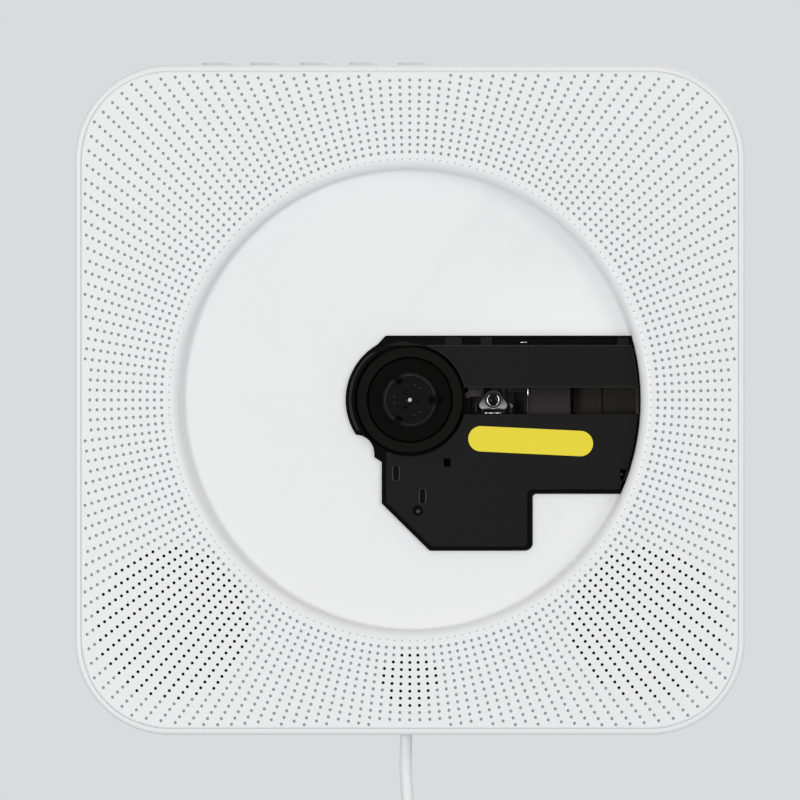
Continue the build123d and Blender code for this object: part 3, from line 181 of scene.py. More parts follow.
linePoints = cordPoints(cordShape)
cordCurve = bpy.data.curves.new("supplyCord", "CURVE")
cordCurve.dimensions = "3D"
# the depth is multiplied by each point's radius, which also sets how far the curve's box reaches
cordCurve.bevel_depth = 1.0
cordCurve.bevel_resolution = 3
cordCurve.resolution_u = 4
cordCurve.use_fill_caps = True
line = cordCurve.splines.new("NURBS")
line.points.add(len(linePoints) - 1)
for point, place in zip(line.points, linePoints):
    point.co = (*(place * mm), 1.0)
    point.radius = cordShape["diameter"] / 2 * mm
line.order_u = 3
line.use_endpoint_u = True
supplyCord = bpy.data.objects.new("supplyCord", cordCurve)
bpy.context.scene.collection.objects.link(supplyCord)
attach(supplyCord, "cord")
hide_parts("cord_run", "cord_coil")
print("cord laid:", len(linePoints), "points")


# parts of a material
def tintBetween(tree, shader, factor, first, second):
    shade = addNode(tree, "ShaderNodeMix", {"Factor": factor}, data_type="RGBA")
    shade.inputs[6].default_value = first
    shade.inputs[7].default_value = second
    tree.links.new(shade.outputs[2], shader.inputs["Base Color"])


def roughBetween(tree, shader, factor, low, high):
    rough = addNode(tree, "ShaderNodeMapRange", {"Value": factor}, To_Min=low, To_Max=high)
    tree.links.new(rough.outputs["Result"], shader.inputs["Roughness"])


def addRelief(tree, shader, height, strength):
    relief = addNode(tree, "ShaderNodeBump", {"Height": height}, Strength=strength, Distance=0.0001)
    tree.links.new(relief.outputs["Normal"], shader.inputs["Normal"])


def mouldedPlastic(name, colour, roughness, grain, bump, tint=None, gloss=0.5):
    # injection-moulded plastic: an even colour in patches some 55 mm wide, with the fine
    # spark-eroded texture of the mould, whose grain is given in millimetres
    material, tree, shader = newMaterial(name)
    place = addNode(tree, "ShaderNodeTexCoord").outputs["Object"]
    fine = addNode(tree, "ShaderNodeTexNoise", {"Vector": place}, Scale=1000 / grain, Detail=3.0, Roughness=0.6)
    broad = addNode(tree, "ShaderNodeTexNoise", {"Vector": place}, Scale=18.0, Detail=2.0)
    tintBetween(tree, shader, broad.outputs["Fac"], linearColour(colour), linearColour(tint or colour))
    roughBetween(tree, shader, fine.outputs["Fac"], roughness - 0.05, roughness + 0.05)
    addRelief(tree, shader, fine.outputs["Fac"], bump)
    shader.inputs["IOR"].default_value = 1.53
    shader.inputs["Specular IOR Level"].default_value = gloss
    return material


def shadedFilm(name, upper, lower, high, low, roughness):
    # thin sheet with painted shade and light, darker at one height than at the other, over a faint grain of 2/3 mm
    material, tree, shader = newMaterial(name)
    place = addNode(tree, "ShaderNodeTexCoord").outputs["Object"]
    split = addNode(tree, "ShaderNodeSeparateXYZ", {"Vector": place})
    height = addNode(tree, "ShaderNodeMapRange", {"Value": split.outputs["Z"]}, From_Min=low * mm, From_Max=high * mm)
    grain = addNode(tree, "ShaderNodeTexNoise", {"Vector": place}, Scale=1500.0, Detail=2.0)
    tintBetween(tree, shader, height.outputs["Result"], linearColour(lower), linearColour(upper))
    addRelief(tree, shader, grain.outputs["Fac"], 0.08)
    shader.inputs["Roughness"].default_value = roughness
    shader.inputs["Specular IOR Level"].default_value = 0.15
    return material


def metalFinish(name, colour, roughness, grain, stretch=(1, 1, 1), bump=0.1):
    # worked metal: the tool's marks run along one way, or all ways on a cast or plated part
    material, tree, shader = newMaterial(name)
    place = addNode(tree, "ShaderNodeTexCoord").outputs["Object"]
    turned = addNode(tree, "ShaderNodeMapping", {"Vector": place})
    turned.inputs["Scale"].default_value = stretch
    marks = addNode(tree, "ShaderNodeTexNoise", {"Vector": turned.outputs["Vector"]}, Scale=1000 / grain, Detail=4.0)
    bright = linearColour(colour)
    tintBetween(tree, shader, marks.outputs["Fac"], bright, tuple(c * 0.86 for c in bright[:3]) + (1.0,))
    roughBetween(tree, shader, marks.outputs["Fac"], roughness - 0.06, roughness + 0.08)
    addRelief(tree, shader, marks.outputs["Fac"], bump)
    shader.inputs["Metallic"].default_value = 1.0
    return material


# white ABS, satin moulded: bright, slightly cool, no gloss
whiteCase = mouldedPlastic("whiteAbsCase", "EDEDED", 0.42, 0.6, 0.04, tint="EBEBEB")
whitePanel = mouldedPlastic("whiteAbsFront", "EFEFEF", 0.40, 0.6, 0.03, tint="EDEDED")
whiteKeys = mouldedPlastic("whiteAbsKeys", "EBEBEB", 0.34, 0.5, 0.04)
# floor of a blind sound dimple: the same plastic, grey in its own shade
dimpleFloor = mouldedPlastic("whiteAbsDimple", "B9BABC", 0.6, 0.5, 0.05)
# black and dull floor that closes an open sound hole: painted shade of the dark inside, where the speaker cone lies
# further back
holeShade = mouldedPlastic("blackHoleShade", "0B0B0C", 0.95, 0.4, 0.3)
# black ABS of the deck: satin and a little dusty; its lighter copies are painted highlights where an edge catches the
# light
blackDeck = mouldedPlastic("blackAbsDeck", "141413", 0.45, 0.7, 0.10, tint="151514", gloss=0.08)
# a darker copy of the same black: painted shade on the deck's lower border and in its holes, slots and pills
shadedBorderBlack = mouldedPlastic("blackAbsShadedBorder", "050505", 0.45, 0.7, 0.10, gloss=0.04)
blackHighlight = mouldedPlastic("blackAbsPaintedHighlight", "383836", 0.35, 0.7, 0.02, gloss=0.2)
blackFaintHighlight = mouldedPlastic("blackAbsFaintPaintedHighlight", "20201F", 0.3, 0.7, 0.02, gloss=0.3)
blackTable = mouldedPlastic("blackAbsTurntable", "030302", 0.45, 0.6, 0.08, gloss=0.04)
blackHub = mouldedPlastic("blackAcetalHub", "090908", 0.36, 0.6, 0.06, gloss=0.06)
blackRubber = mouldedPlastic("blackRubber", "10100E", 0.72, 0.5, 0.15, gloss=0.06)
blackInner = mouldedPlastic("blackPolycarbonate", "141414", 0.5, 0.7, 0.10, gloss=0.15)
# the blackest black, for the hub's eyes and slots: painted shade
pitShadeBlack = mouldedPlastic("blackPaintedPitShade", "030303", 0.8, 0.7, 0.05, gloss=0.02)
# dark sheet metal and film seen through the slot, a little red, and lighter towards the bottom as a painted reflection
darkChassis = shadedFilm("darkPaintedSteel", "201919", "332A2A", 3.6, -4.2, 0.5)
brownCover = shadedFilm("brownFlexFilm", "191213", "322A2D", 3.6, -4.2, 0.45)
brownBracket = shadedFilm("brownLacqueredSteel", "161211", "463D3B", 4.0, 0.8, 0.45)
naturalAcetal = mouldedPlastic("naturalAcetal", "E2DFD6", 0.38, 0.5, 0.05)
# light grey holder whose dome stands in its own shade
silverHolder = shadedFilm("greyFilledPolymer", "343535", "A4A5A6", 0.4, -2.6, 0.4)
greenBoard = mouldedPlastic("greenGlassEpoxy", "1E5A34", 0.35, 0.8, 0.10, tint="1A5230")
whitePvc = mouldedPlastic("whiteSoftPvc", "F2F2F2", 0.48, 0.8, 0.04)
blackComponent = mouldedPlastic("blackEpoxy", "151515", 0.45, 0.5, 0.10)
coneFibre = mouldedPlastic("blackPaperPulp", "1B1B1C", 0.9, 1.2, 0.5)
yellowVinyl = mouldedPlastic("yellowVinyl", "EEDB3A", 0.45, 0.8, 0.03, tint="EBD838", gloss=0.2)
# metals, and the plastics and coats that stand for cast and painted ones
polishedSteel = metalFinish("groundSteel", "C9CACC", 0.22, 0.4, stretch=(0.1, 1, 1), bump=0.05)
nickelPlate = metalFinish("nickelPlatedSteel", "C4C2BC", 0.24, 0.6, bump=0.05)
zincPlate = metalFinish("zincPlatedSteel", "B4B6B8", 0.36, 0.5, bump=0.10)
darkCast = mouldedPlastic("blackFilledPolymer", "0E0E0D", 0.5, 0.9, 0.15, gloss=0.10)
# steel of the focus yoke, made dark as painted shade where it lies deep under the lens
shadedYoke = mouldedPlastic("steelPaintedShade", "121211", 0.4, 0.6, 0.10, gloss=0.2)
ferrite = mouldedPlastic("sinteredFerrite", "2A2A2C", 0.7, 1.0, 0.3)
powderWhite = mouldedPlastic("whitePowderCoat", "DADBDC", 0.5, 0.9, 0.25)

# coated lens over its dark barrel: near black, with the faint blue and red of its coat
lensGlass, lensTree, lensShader = newMaterial("coatedLens")
lensPlace = addNode(lensTree, "ShaderNodeTexCoord").outputs["Object"]
lensCloud = addNode(lensTree, "ShaderNodeTexNoise", {"Vector": lensPlace}, Scale=400.0)
tintBetween(lensTree, lensShader, lensCloud.outputs["Fac"], linearColour("08090C"), linearColour("0C080C"))
lensShader.inputs["Roughness"].default_value = 0.04
lensShader.inputs["IOR"].default_value = 1.5
lensShader.inputs["Specular IOR Level"].default_value = 0.12
print("materials made:", len(bpy.data.materials))

supplyCord.data.materials.append(whitePvc)

nodeMaterials = {
    "rear_case": whiteCase,
    "case_screws": zincPlate,
    "wall_bracket": powderWhite,
    "wall_pads": blackRubber,
    "cd_deck": shadedBorderBlack,
    "turntable": blackTable,
    "turntable_pad": blackRubber,
    "disc_hub": blackHub,
    "disc_catch_a": blackTable,
    "disc_catch_b": blackTable,
    "disc_catch_c": blackTable,
    "spindle_shaft": polishedSteel,
    "spindle_motor": zincPlate,
    "mech_chassis": darkChassis,
    "mech_dampers": blackRubber,
    "inner_screws": zincPlate,
    "main_guide_rod": polishedSteel,
    "plain_guide_rod": polishedSteel,
    "pickup_sled": darkCast,
    "pickup_cover": brownCover,
    "focus_yoke": shadedYoke,
    "lens_holder": blackInner,
    "objective_lens": lensGlass,
    "feed_rack": naturalAcetal,
    "feed_gear": naturalAcetal,
    "feed_pinion": polishedSteel,
    "feed_motor": zincPlate,
    "home_switch": blackComponent,
    "mech_board": greenBoard,
    "ribbon_cable": whitePvc,
    "main_board": greenBoard,
    "board_chips": blackComponent,
    "board_capacitors": blackComponent,
    "board_connectors": naturalAcetal,
    "button_board": greenBoard,
    "button_switches": blackComponent,
    "speaker_frame_left": blackInner,
    "speaker_frame_right": blackInner,
    "speaker_cone_left": coneFibre,
    "speaker_cone_right": coneFibre,
    "speaker_magnets": ferrite,
    "sensor_board": greenBoard,
    "remote_sensor": blackComponent,
    "pull_housing": naturalAcetal,
    "cord_clamp": blackInner,
    "pull_spring": zincPlate,
    "cord_bush": whitePvc,
    "cord_tie": whitePvc,
    "usb_plug_grip": whitePvc,
    "usb_plug_shell": nickelPlate,
    "jack_socket": blackInner,
}
for number in range(1, 6):
    nodeMaterials[f"button_{number}"] = whiteKeys
# lighter copies for the faces that the edge index picks: painted highlights on the deck's edges and the hub's chamfer
highlightMaterials = {"cd_deck": blackHighlight, "disc_hub": blackFaintHighlight}

for name, material in nodeMaterials.items():
    node = nodes[name]
    node.data.materials.clear()
    node.data.materials.append(material)
    node.data.polygons.foreach_set("material_index", [0] * len(node.data.polygons))
    if name in highlightMaterials:
        node.data.materials.append(highlightMaterials[name])
        for face in node.data.polygons:
            face.material_index = highlightIndex(face.normal)
    node.data.polygons.foreach_set("use_smooth", [True] * len(node.data.polygons))
    weld = node.modifiers.new("weld", "WELD")
    weld.merge_threshold = 2 * sameSpot
    split = node.modifiers.new("crease", "EDGE_SPLIT")
    split.split_angle = creaseAngle
print("CAD nodes dressed:", len(nodeMaterials))


# flat parts, cut to outlines
def sheet(outlines, low, high, bevel=0.0):
    # outlines are lists of (x, z) in mm, low and high are millimetres off the wall
    curve = bpy.data.curves.new("sheet", "CURVE")
    curve.dimensions, curve.fill_mode = "2D", "BOTH"
    curve.extrude = ((high - low) / 2 - bevel) * mm
    curve.bevel_depth, curve.bevel_resolution, curve.offset = bevel * mm, 1, -bevel * mm
    for points in outlines:
        spline = curve.splines.new("POLY")
        spline.points.add(len(points) - 1)
        for point, (x, z) in zip(spline.points, points):
            point.co = (x * mm, z * mm, 0, 1)
        spline.use_cyclic_u = True
    holder = bpy.data.objects.new("sheet", curve)
    mesh = bpy.data.meshes.new_from_object(holder)
    bm = bmesh.new()
    bm.from_mesh(mesh)
    bmesh.ops.remove_doubles(bm, verts=bm.verts, dist=sameSpot)
    for v in bm.verts:
        x, z, out = v.co
        v.co = (x, -(low + high) / 2 * mm - out, z)
    bmesh.ops.recalc_face_normals(bm, faces=bm.faces)
    for face in bm.faces:
        face.material_index = highlightIndex(face.normal)
    bpy.data.objects.remove(holder)
    bpy.data.curves.remove(curve)
    bpy.data.meshes.remove(mesh)
    return bm


def arc(radius, start, end, x=0.0, z=0.0, step=3.0):
    # points along an arc between two directions in degrees
    count = max(int(abs(end - start) / step), 2)
    turns = [math.radians(start + (end - start) * i / count) for i in range(count + 1)]
    return [(x + radius * math.cos(t), z + radius * math.sin(t)) for t in turns]


def box(left, right, low, high):
    return [(left, low), (right, low), (right, high), (left, high)]


def pill(x, z, width, height):
    half = (height - width) / 2
    return arc(width / 2, 0, 180, x, z + half, 15) + arc(width / 2, 180, 360, x, z - half, 15)


def circle(radius, x=0.0, z=0.0, step=10):
    return arc(radius, 0, 360, x, z, step)[:-1]


# front panel: the CAD form, its flat face re-cut into one cell per sound hole
panelShape = {
    "face": 42.0,
    "columns": 200,
    "firstRing": 72.26,
    "ringStep": 2.087,
    "rings": 40,               # more than the corners hold
    "holeWidth": 0.95,
    "holeSides": 10,
    "blindDepth": 0.8,
    "openDepth": 2.0,
    "side": 189.36,
    "corner": 24.6,
    "rimGap": 0.14,            # a hole nearer to the rim than this moves in
    "pullIn": 1.4,             # and by this many times what it lacks
    "openFields": [(-69.1, -65.2, 22.3), (69.2, -65.2, 22.3), (0.0, -81.3, 8.36)],
    "lipRing": 70.13,          # ring of faint dots pressed into the well's lip
    "lipDot": 0.5,
    "lipDrop": 0.012,          # the lip has begun to round over there
}


def edgeLoops(bm, faceY, limit):
    # the two rims that are left where the flat face was, each as its vertices in order round the axis
    rim = {v for e in bm.edges if e.is_boundary for v in e.verts if abs(v.co.y - faceY) < sameSpot}
    byAngle = sorted(rim, key=lambda v: math.atan2(v.co.z, v.co.x))
    return [v for v in byAngle if v.co.xz.length < limit], [v for v in byAngle if v.co.xz.length >= limit]


def splitRim(bm, rim, columns):
    # a vertex where each border between two columns crosses the rim; gives the rim column by column
    crossings = []
    for column in range(columns):
        angle = -math.pi + (column + 0.5) * 2 * math.pi / columns
        way = Vector((math.cos(angle), 0, math.sin(angle)))
        after = next((i for i, v in enumerate(rim) if math.atan2(v.co.z, v.co.x) > angle), len(rim))
        first, last = rim[after - 1], rim[after % len(rim)]
        if abs(math.atan2(first.co.z, first.co.x) - angle) < 10 * sameSpot:
            crossings.append(first)
            continue
        edge = next(e for e in first.link_edges if last in e.verts)
        side = way.cross(Vector((0, 1, 0)))
        a, b = first.co.dot(side), last.co.dot(side)
        fresh = bmesh.utils.edge_split(edge, first, a / (a - b))[1]
        rim.insert(after, fresh)
        crossings.append(fresh)
    order = {v: i for i, v in enumerate(rim)}
    count = len(rim)
    for column in range(columns):
        low, high = order[crossings[column - 1]], order[crossings[column]]
        yield [rim[(low + i) % count] for i in range((high - low) % count + 1)]


def ringsOf(shape, angle):
    # radius, the hole's own place and its kind, ring by ring along one column
    half = shape["side"] / 2
    inner = half - shape["corner"]
    for ring in range(shape["rings"]):
        radius = shape["firstRing"] + shape["ringStep"] * ring
        x, z = radius * math.cos(angle), radius * math.sin(angle)
        reach = math.hypot(max(abs(x) - inner, 0), max(abs(z) - inner, 0)) - shape["corner"]
        if reach > 0:
            return
        isOpen = any(math.hypot(x - fx, z - fz) <= fr for fx, fz, fr in shape["openFields"])
        # a hole that would touch the rim sits a little further in
        place = radius - max(reach + shape["rimGap"], 0) * shape["pullIn"]
        yield radius, place, "open" if isOpen else "blind"


def fillBetween(bm, border, hole, centre):
    # triangles between a cell's border and its hole: each edge of either loop goes to the nearest
    # corner of the other, in the order of their middles round the hole
    def turn(v):
        return math.atan2(v.co.z - centre.z, v.co.x - centre.x)
    loops = [sorted(border, key=turn), sorted(hole, key=turn)]
    steps = []
    for side, loop in enumerate(loops):
        angles = [turn(v) for v in loop] + [turn(loop[0]) + 2 * math.pi]
        steps += [(angles[i] + angles[i + 1], side) for i in range(len(loop))]
    at = [0, 0]
    for _, side in sorted(steps):
        here = [loop[i % len(loop)] for loop, i in zip(loops, at)]
        at[side] += 1
        after = loops[side][at[side] % len(loops[side])]
        bm.faces.new((here[0], after, here[1])).smooth = False


def makeFrontPanel(shape):
    bm = bmesh.new()
    bm.from_mesh(nodes["front_panel"].data)
    bmesh.ops.remove_doubles(bm, verts=bm.verts, dist=2 * sameSpot)
    for f in bm.faces:
        f.smooth = True
    faceY = -shape["face"] * mm
    flat = [f for f in bm.faces if f.normal.y < -0.999 and abs(f.calc_center_median().y - faceY) < sameSpot]
    bmesh.ops.delete(bm, geom=flat, context="FACES")
    well, rim = edgeLoops(bm, faceY, shape["firstRing"] * mm)
    print("panel face removed:", len(flat), "faces, rims of", len(well), "and", len(rim), "points")
    depths = {"blind": shape["blindDepth"], "open": shape["openDepth"]}
    kinds = {"blind": 1, "open": 2}
    count = {"blind": 0, "open": 0}
    wellParts = list(splitRim(bm, well, shape["columns"]))
    rimParts = list(splitRim(bm, rim, shape["columns"]))
    borders = [{} for _ in range(shape["columns"])]
    pitch = 2 * math.pi / shape["columns"]

    def corner(column, radius):
        # vertices on a border between two columns, shared by the cells on both sides
        store = borders[column % shape["columns"]]
        if radius not in store:
            angle = -math.pi + (column % shape["columns"] + 0.5) * pitch
            store[radius] = bm.verts.new((radius * mm * math.cos(angle), faceY, radius * mm * math.sin(angle)))
        return store[radius]

    columns = [list(ringsOf(shape, -math.pi + column * pitch)) for column in range(shape["columns"])]
    for column, rings in enumerate(columns):
        for radius, _, _ in rings[:-1]:
            corner(column - 1, radius + shape["ringStep"] / 2)
            corner(column, radius + shape["ringStep"] / 2)
    for column, rings in enumerate(columns):
        angle = -math.pi + column * pitch
        inside = wellParts[column]
        for radius, place, kind in rings:
            count[kind] += 1
            edge = radius + shape["ringStep"] / 2
            if radius < rings[-1][0]:
                outside = [corner(column - 1, edge), corner(column, edge)]
            else:
                # the last cell reaches the rim, past the corners that only a neighbour has
                sides = list(borders[column - 1].items()) + list(borders[column].items())
                outside = rimParts[column] + [v for far, v in sides if far >= edge]
            centre = Vector((place * mm * math.cos(angle), faceY, place * mm * math.sin(angle)))
            steps = [angle + 2 * math.pi * k / shape["holeSides"] for k in range(shape["holeSides"])]
            halfHole = shape["holeWidth"] / 2 * mm
            hole = [bm.verts.new(centre + Vector((math.cos(s), 0, math.sin(s))) * halfHole) for s in steps]
            floor = [bm.verts.new(v.co + Vector((0, depths[kind] * mm, 0))) for v in hole]
            fillBetween(bm, inside + outside, hole, centre)
            for k in range(len(hole)):
                after = (k + 1) % len(hole)
                bm.faces.new((hole[k], hole[after], floor[after], floor[k])).smooth = True
            bottom = bm.faces.new(floor)
            bottom.smooth, bottom.material_index = False, kinds[kind]
            inside = outside
    bmesh.ops.recalc_face_normals(bm, faces=bm.faces)
    print("sound holes:", count, "open edges left:", sum(e.is_boundary for e in bm.edges))
    print("panel triangles:", sum(len(f.verts) - 2 for f in bm.faces))
    return bm


frontPanel = makePiece(
    "frontPanel", makeFrontPanel(panelShape), [whitePanel, dimpleFloor, holeShade], "case", smooth=None,
)
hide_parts("front_panel")


def roundedSquare(half, corner):
    inner = half - corner
    return [
        point for (sx, sz), first in (((1, 1), 0), ((-1, 1), 90), ((-1, -1), 180), ((1, -1), 270))
        for point in arc(corner, first, first + 90, sx * inner, sz * inner, 5)
    ]


# floor of the narrow seam between the panel and the case
seamShape = {"half": 95.95, "corner": 25.95, "width": 0.35, "low": 40.9, "top": 41.25}
seamPlan = [
    roundedSquare(seamShape["half"], seamShape["corner"]),
    roundedSquare(seamShape["half"] - seamShape["width"], seamShape["corner"] - seamShape["width"])[::-1],
]
seamFloor = makePiece(
    "seamFloor", sheet(seamPlan, seamShape["low"], seamShape["top"]), [whiteCase], "case", smooth=False,
)


# flat grey discs just under the lip's surface for the faint pressed dots: their shade is painted, in the grey of the
# dimple floors
def makeLipDots(shape):
    bm = bmesh.new()
    upright = Matrix.Rotation(math.radians(90), 4, "X")
    for column in range(shape["columns"]):
        angle = 2 * math.pi * column / shape["columns"]
        offWall = shape["face"] - shape["lipDrop"]
        spot = toRoom(shape["lipRing"] * math.cos(angle), offWall, shape["lipRing"] * math.sin(angle))
        bmesh.ops.create_circle(
            bm, cap_ends=True, radius=shape["lipDot"] / 2 * mm, segments=8, matrix=Matrix.Translation(spot) @ upright,
        )
    bmesh.ops.recalc_face_normals(bm, faces=bm.faces)
    return bm


lipDots = makePiece("lipDots", makeLipDots(panelShape), [dimpleFloor], "case", smooth=False)
print("front panel done")


# deck: the raised face inside its lower border
deckShape = {
    "low": 35.55,
    "face": 35.95,
    "bevel": 0.16,
    "edge": 66.6,              # radius of its right end
    "upper": 15.95,
    "slotHigh": 3.65,
    "slotLow": -4.15,
    "bottom": -26.15,
    "left": -6.9,
    "footRight": 34.2,
    "footBottom": -42.8,
    "recess": 16.35,           # radius of the recess beside the slot
    "bandInner": 17.1,         # band round the recess on the left
    "bandOuter": 17.75,
    "footCorner": 1.3,
    "stepCorner": 1.9,
    "hatch": (9.9, 11.8, -19.4, -17.1),
    "endHatch": (61.4, 63.6, -23.4, -20.4),
    "dimple": (1.45, 2.3, -32.3),   # radius, x and z
}


def bearing(radius, z):
    return math.degrees(math.asin(z / radius))


def deckOutlines(shape):
    edge, recess = shape["edge"], shape["recess"]
    upper = (
        arc(recess, bearing(recess, shape["slotHigh"]), 84)
        + arc(shape["bandInner"], 97, 211)
        + arc(shape["bandOuter"], 210, 133)
        + [(-7.1, shape["upper"] - 0.3), (-6.6, shape["upper"])]
        + arc(edge, bearing(edge, shape["upper"]), bearing(edge, shape["slotHigh"]))
    )
    corner, inside = shape["footCorner"], shape["stepCorner"]
    lower = (
        arc(recess, bearing(recess, shape["slotLow"]), -115)
        + [(shape["left"], -29.8), (6.3, shape["footBottom"])]
        + arc(corner, -90, 0, shape["footRight"] - corner, shape["footBottom"] + corner, 15)
        + arc(inside, 180, 90, shape["footRight"] + inside, shape["bottom"] - inside, 15)
        + arc(edge, bearing(edge, shape["bottom"]), bearing(edge, shape["slotLow"]))
    )
    return [upper[::-1], lower]


deckHoles = [
    box(*deckShape["hatch"])[::-1],
    box(*deckShape["endHatch"])[::-1],
    circle(*deckShape["dimple"])[::-1],
]
deckFace = makePiece(
    "deckFace",
    sheet(deckOutlines(deckShape) + deckHoles, deckShape["low"], deckShape["face"], deckShape["bevel"]),
    [blackDeck, blackHighlight], "case", smooth=False,
)

# between and beside the slots of the upper strip the deck is as light as its face; under them lies a rib in the
# darkest black, as painted shade in the slots
stripShape = {
    "bridges": [(10.2, 15.2, 16.0, 18.2), (20.7, 24.0, 16.0, 18.2), (60.5, 63.7, 16.0, 18.1)],
    "bridgeLow": 35.5,
    "bridgeTop": 35.7,
    "rib": (15.1, 60.6, 16.25, 18.3),
    "ribLow": 33.9,
    "ribTop": 34.12,
    "glint": (32.4, 34.2, 16.65, 16.95),   # end of a bright wire under the slots
    "glintLow": 34.2,
    "glintTop": 34.6,
    "glintBevel": 0.08,
}
bridges = [box(*bridge) for bridge in stripShape["bridges"]]
deckBridges = makePiece(
    "deckBridges", sheet(bridges, stripShape["bridgeLow"], stripShape["bridgeTop"]), [blackDeck], "case", smooth=False,
)
slotShade = makePiece(
    "slotShade",
    sheet([box(*stripShape["rib"])], stripShape["ribLow"], stripShape["ribTop"]),
    [shadedBorderBlack], "case", smooth=False,
)

# screw head in the dimple, all in the lighter black of the painted highlights
domeShape = {"plan": (0.62, 2.45, -32.5, 20), "low": 34.9, "top": 35.4, "bevel": 0.24}
dimpleDome = makePiece(
    "dimpleDome",
    sheet([circle(*domeShape["plan"])], domeShape["low"], domeShape["top"], domeShape["bevel"]),
    [blackHighlight, blackHighlight], "case",
)

# two embossed pills, each a dark face of painted shade in a light outline of painted highlight
pillShape = {
    "places": [(-4.0, -21.3), (3.7, -28.1)],
    "width": 1.7,
    "height": 4.4,
    "line": 0.2,
    "low": 35.9,
    "lineTop": 36.0,
    "faceTop": 35.975,
    "bevel": 0.03,
}


def pillPlans(shape, grow=0.0):
    width, height = shape["width"] + 2 * grow, shape["height"] + 2 * grow
    return [pill(x, z, width, height) for x, z in shape["places"]]


pillFaces = pillPlans(pillShape)
pillHighlightRings = [
    ring for rim, face in zip(pillPlans(pillShape, pillShape["line"]), pillFaces) for ring in (rim, face[::-1])
]
deckPills = makePiece(
    "deckPills",
    sheet(pillHighlightRings, pillShape["low"], pillShape["lineTop"], pillShape["bevel"]),
    [blackFaintHighlight, blackHighlight], "case",
)
pillShade = makePiece(
    "pillShade", sheet(pillFaces, pillShape["low"], pillShape["faceTop"]), [shadedBorderBlack], "case", smooth=False,
)

# small bar in the hole by the right end, all in the lighter black of the painted highlights
barShape = {"plan": (61.3, 63.2, -22.0, -21.3), "low": 34.2, "top": 35.4, "bevel": 0.1}
hatchBar = makePiece(
    "hatchBar",
    sheet([box(*barShape["plan"])], barShape["low"], barShape["top"], barShape["bevel"]),
    [blackHighlight, blackHighlight], "case",
)
print("deck face done")


# turntable and hub: what stands out of the black
hubShape = {
    "top": 39.6,
    "eyes": [(-1.18, 2.11), (2.39, -0.09), (-1.61, -2.55)],
    "eyeRadius": 0.5,
    "slotTurns": (0, 120, 240),                                  # where the catches slide in
    "slot": [(5.5, -0.75), (6.9, -0.75), (6.9, 0.75), (5.5, 0.75)],   # along and across its way
    "sparkRing": 4.6,
    "sparkTurns": (60, 180, 298),
    "sparkApart": 11,
    "sparkRadius": 0.2,
    "eyeSpark": (0.16, 0.18, 0.12),                              # radius, and how far off the eye's middle
    "flat": (7.08, 6.3),
    "flatRise": 0.015,
    "tipRim": 1.35,
    "tip": 0.75,
    "tipTop": 39.98,
    "tipBevel": 0.08,
}
hubPits = [circle(hubShape["eyeRadius"], x, z, 30) for x, z in hubShape["eyes"]]
for turn in hubShape["slotTurns"]:
    way, side = math.radians(turn), math.radians(turn + 90)
    hubPits.append([
        (r * math.cos(way) + w * math.cos(side), r * math.sin(way) + w * math.sin(side))
        for r, w in hubShape["slot"]
    ])
# the hub's eyes and the slots where the catches slide in, as flat black sheets on its face: painted shade
hubPitShade = makePiece(
    "hubPitShade", sheet(hubPits, hubShape["top"] - 0.05, hubShape["top"] + 0.02), [pitShadeBlack], "turntable", smooth=False,
)
# light dots on the hub, in pairs round it and one in each eye: painted highlights
sparks = []
for middle in hubShape["sparkTurns"]:
    for turn in (middle - hubShape["sparkApart"], middle + hubShape["sparkApart"]):
        x, z = (hubShape["sparkRing"] * f(math.radians(turn)) for f in (math.cos, math.sin))
        sparks.append(circle(hubShape["sparkRadius"], x, z, 45))
small, right, up = hubShape["eyeSpark"]
sparks += [circle(small, x + right, z + up, 45) for x, z in hubShape["eyes"]]
hubDimpleHighlights = makePiece(
    "hubDimpleHighlights", sheet(sparks, hubShape["top"], hubShape["top"] + 0.04), [blackHighlight], "turntable", smooth=False,
)
# the flat of the hub, which leaves only the outer part of its chamfer to show the painted highlight
outerFlat, innerFlat = hubShape["flat"]
hubFlat = makePiece(
    "hubFlat",
    sheet(
        [circle(outerFlat, step=6), circle(innerFlat)[::-1]],
        hubShape["top"], hubShape["top"] + hubShape["flatRise"],
    ),
    [blackHub], "turntable", smooth=False,
)
tipRim = makePiece(
    "tipRim",
    sheet(
        [circle(hubShape["tipRim"]), circle(hubShape["tip"])[::-1]],
        hubShape["top"] - 0.1, hubShape["tipTop"], hubShape["tipBevel"],
    ),
    [blackHub, blackHub], "turntable",
)
print("hub done")


# pick-up: what shows through the slot
lensShape = {
    "x": 24.3,
    "crown": 2.75,             # radius of the bell's upper end
    "crownUp": 0.1,
    "lobe": 1.15,
    "lobeOut": 2.95,
    "lobeDown": 1.55,
    "foot": (1.2, -2.45),
    "bore": 1.7,
    "low": 32.5,
    "top": 34.74,
    "bevel": 0.25,
    "lip": (2.64, 2.4),
    "lipLow": 34.7,
    "lipTop": 35.06,
    "lipBevel": 0.05,
    "cell": (1.8, 1.56),
    "highlightArcs": [(125, 240), (-55, 45)],
    "cellLow": 34.85,
    "cellTop": 35.02,
    "cellBevel": 0.04,
}


def bellPlan(shape):
    x, lobe, out, down = shape["x"], shape["lobe"], shape["lobeOut"], -shape["lobeDown"]
    half, foot = shape["foot"]
    return (
        arc(shape["crown"], 25, 155, x, shape["crownUp"], 10)
        + arc(lobe, 150, 265, x - out, down, 15)
        + [(x - half, foot), (x + half, foot)]
        + arc(lobe, 275, 390, x + out, down, 15)
    )


lensBell = makePiece(
    "lensBell",
    sheet(
        [bellPlan(lensShape), circle(lensShape["bore"], lensShape["x"])[::-1]],
        lensShape["low"], lensShape["top"], lensShape["bevel"],
    ),
    [silverHolder, silverHolder], "lens",
)
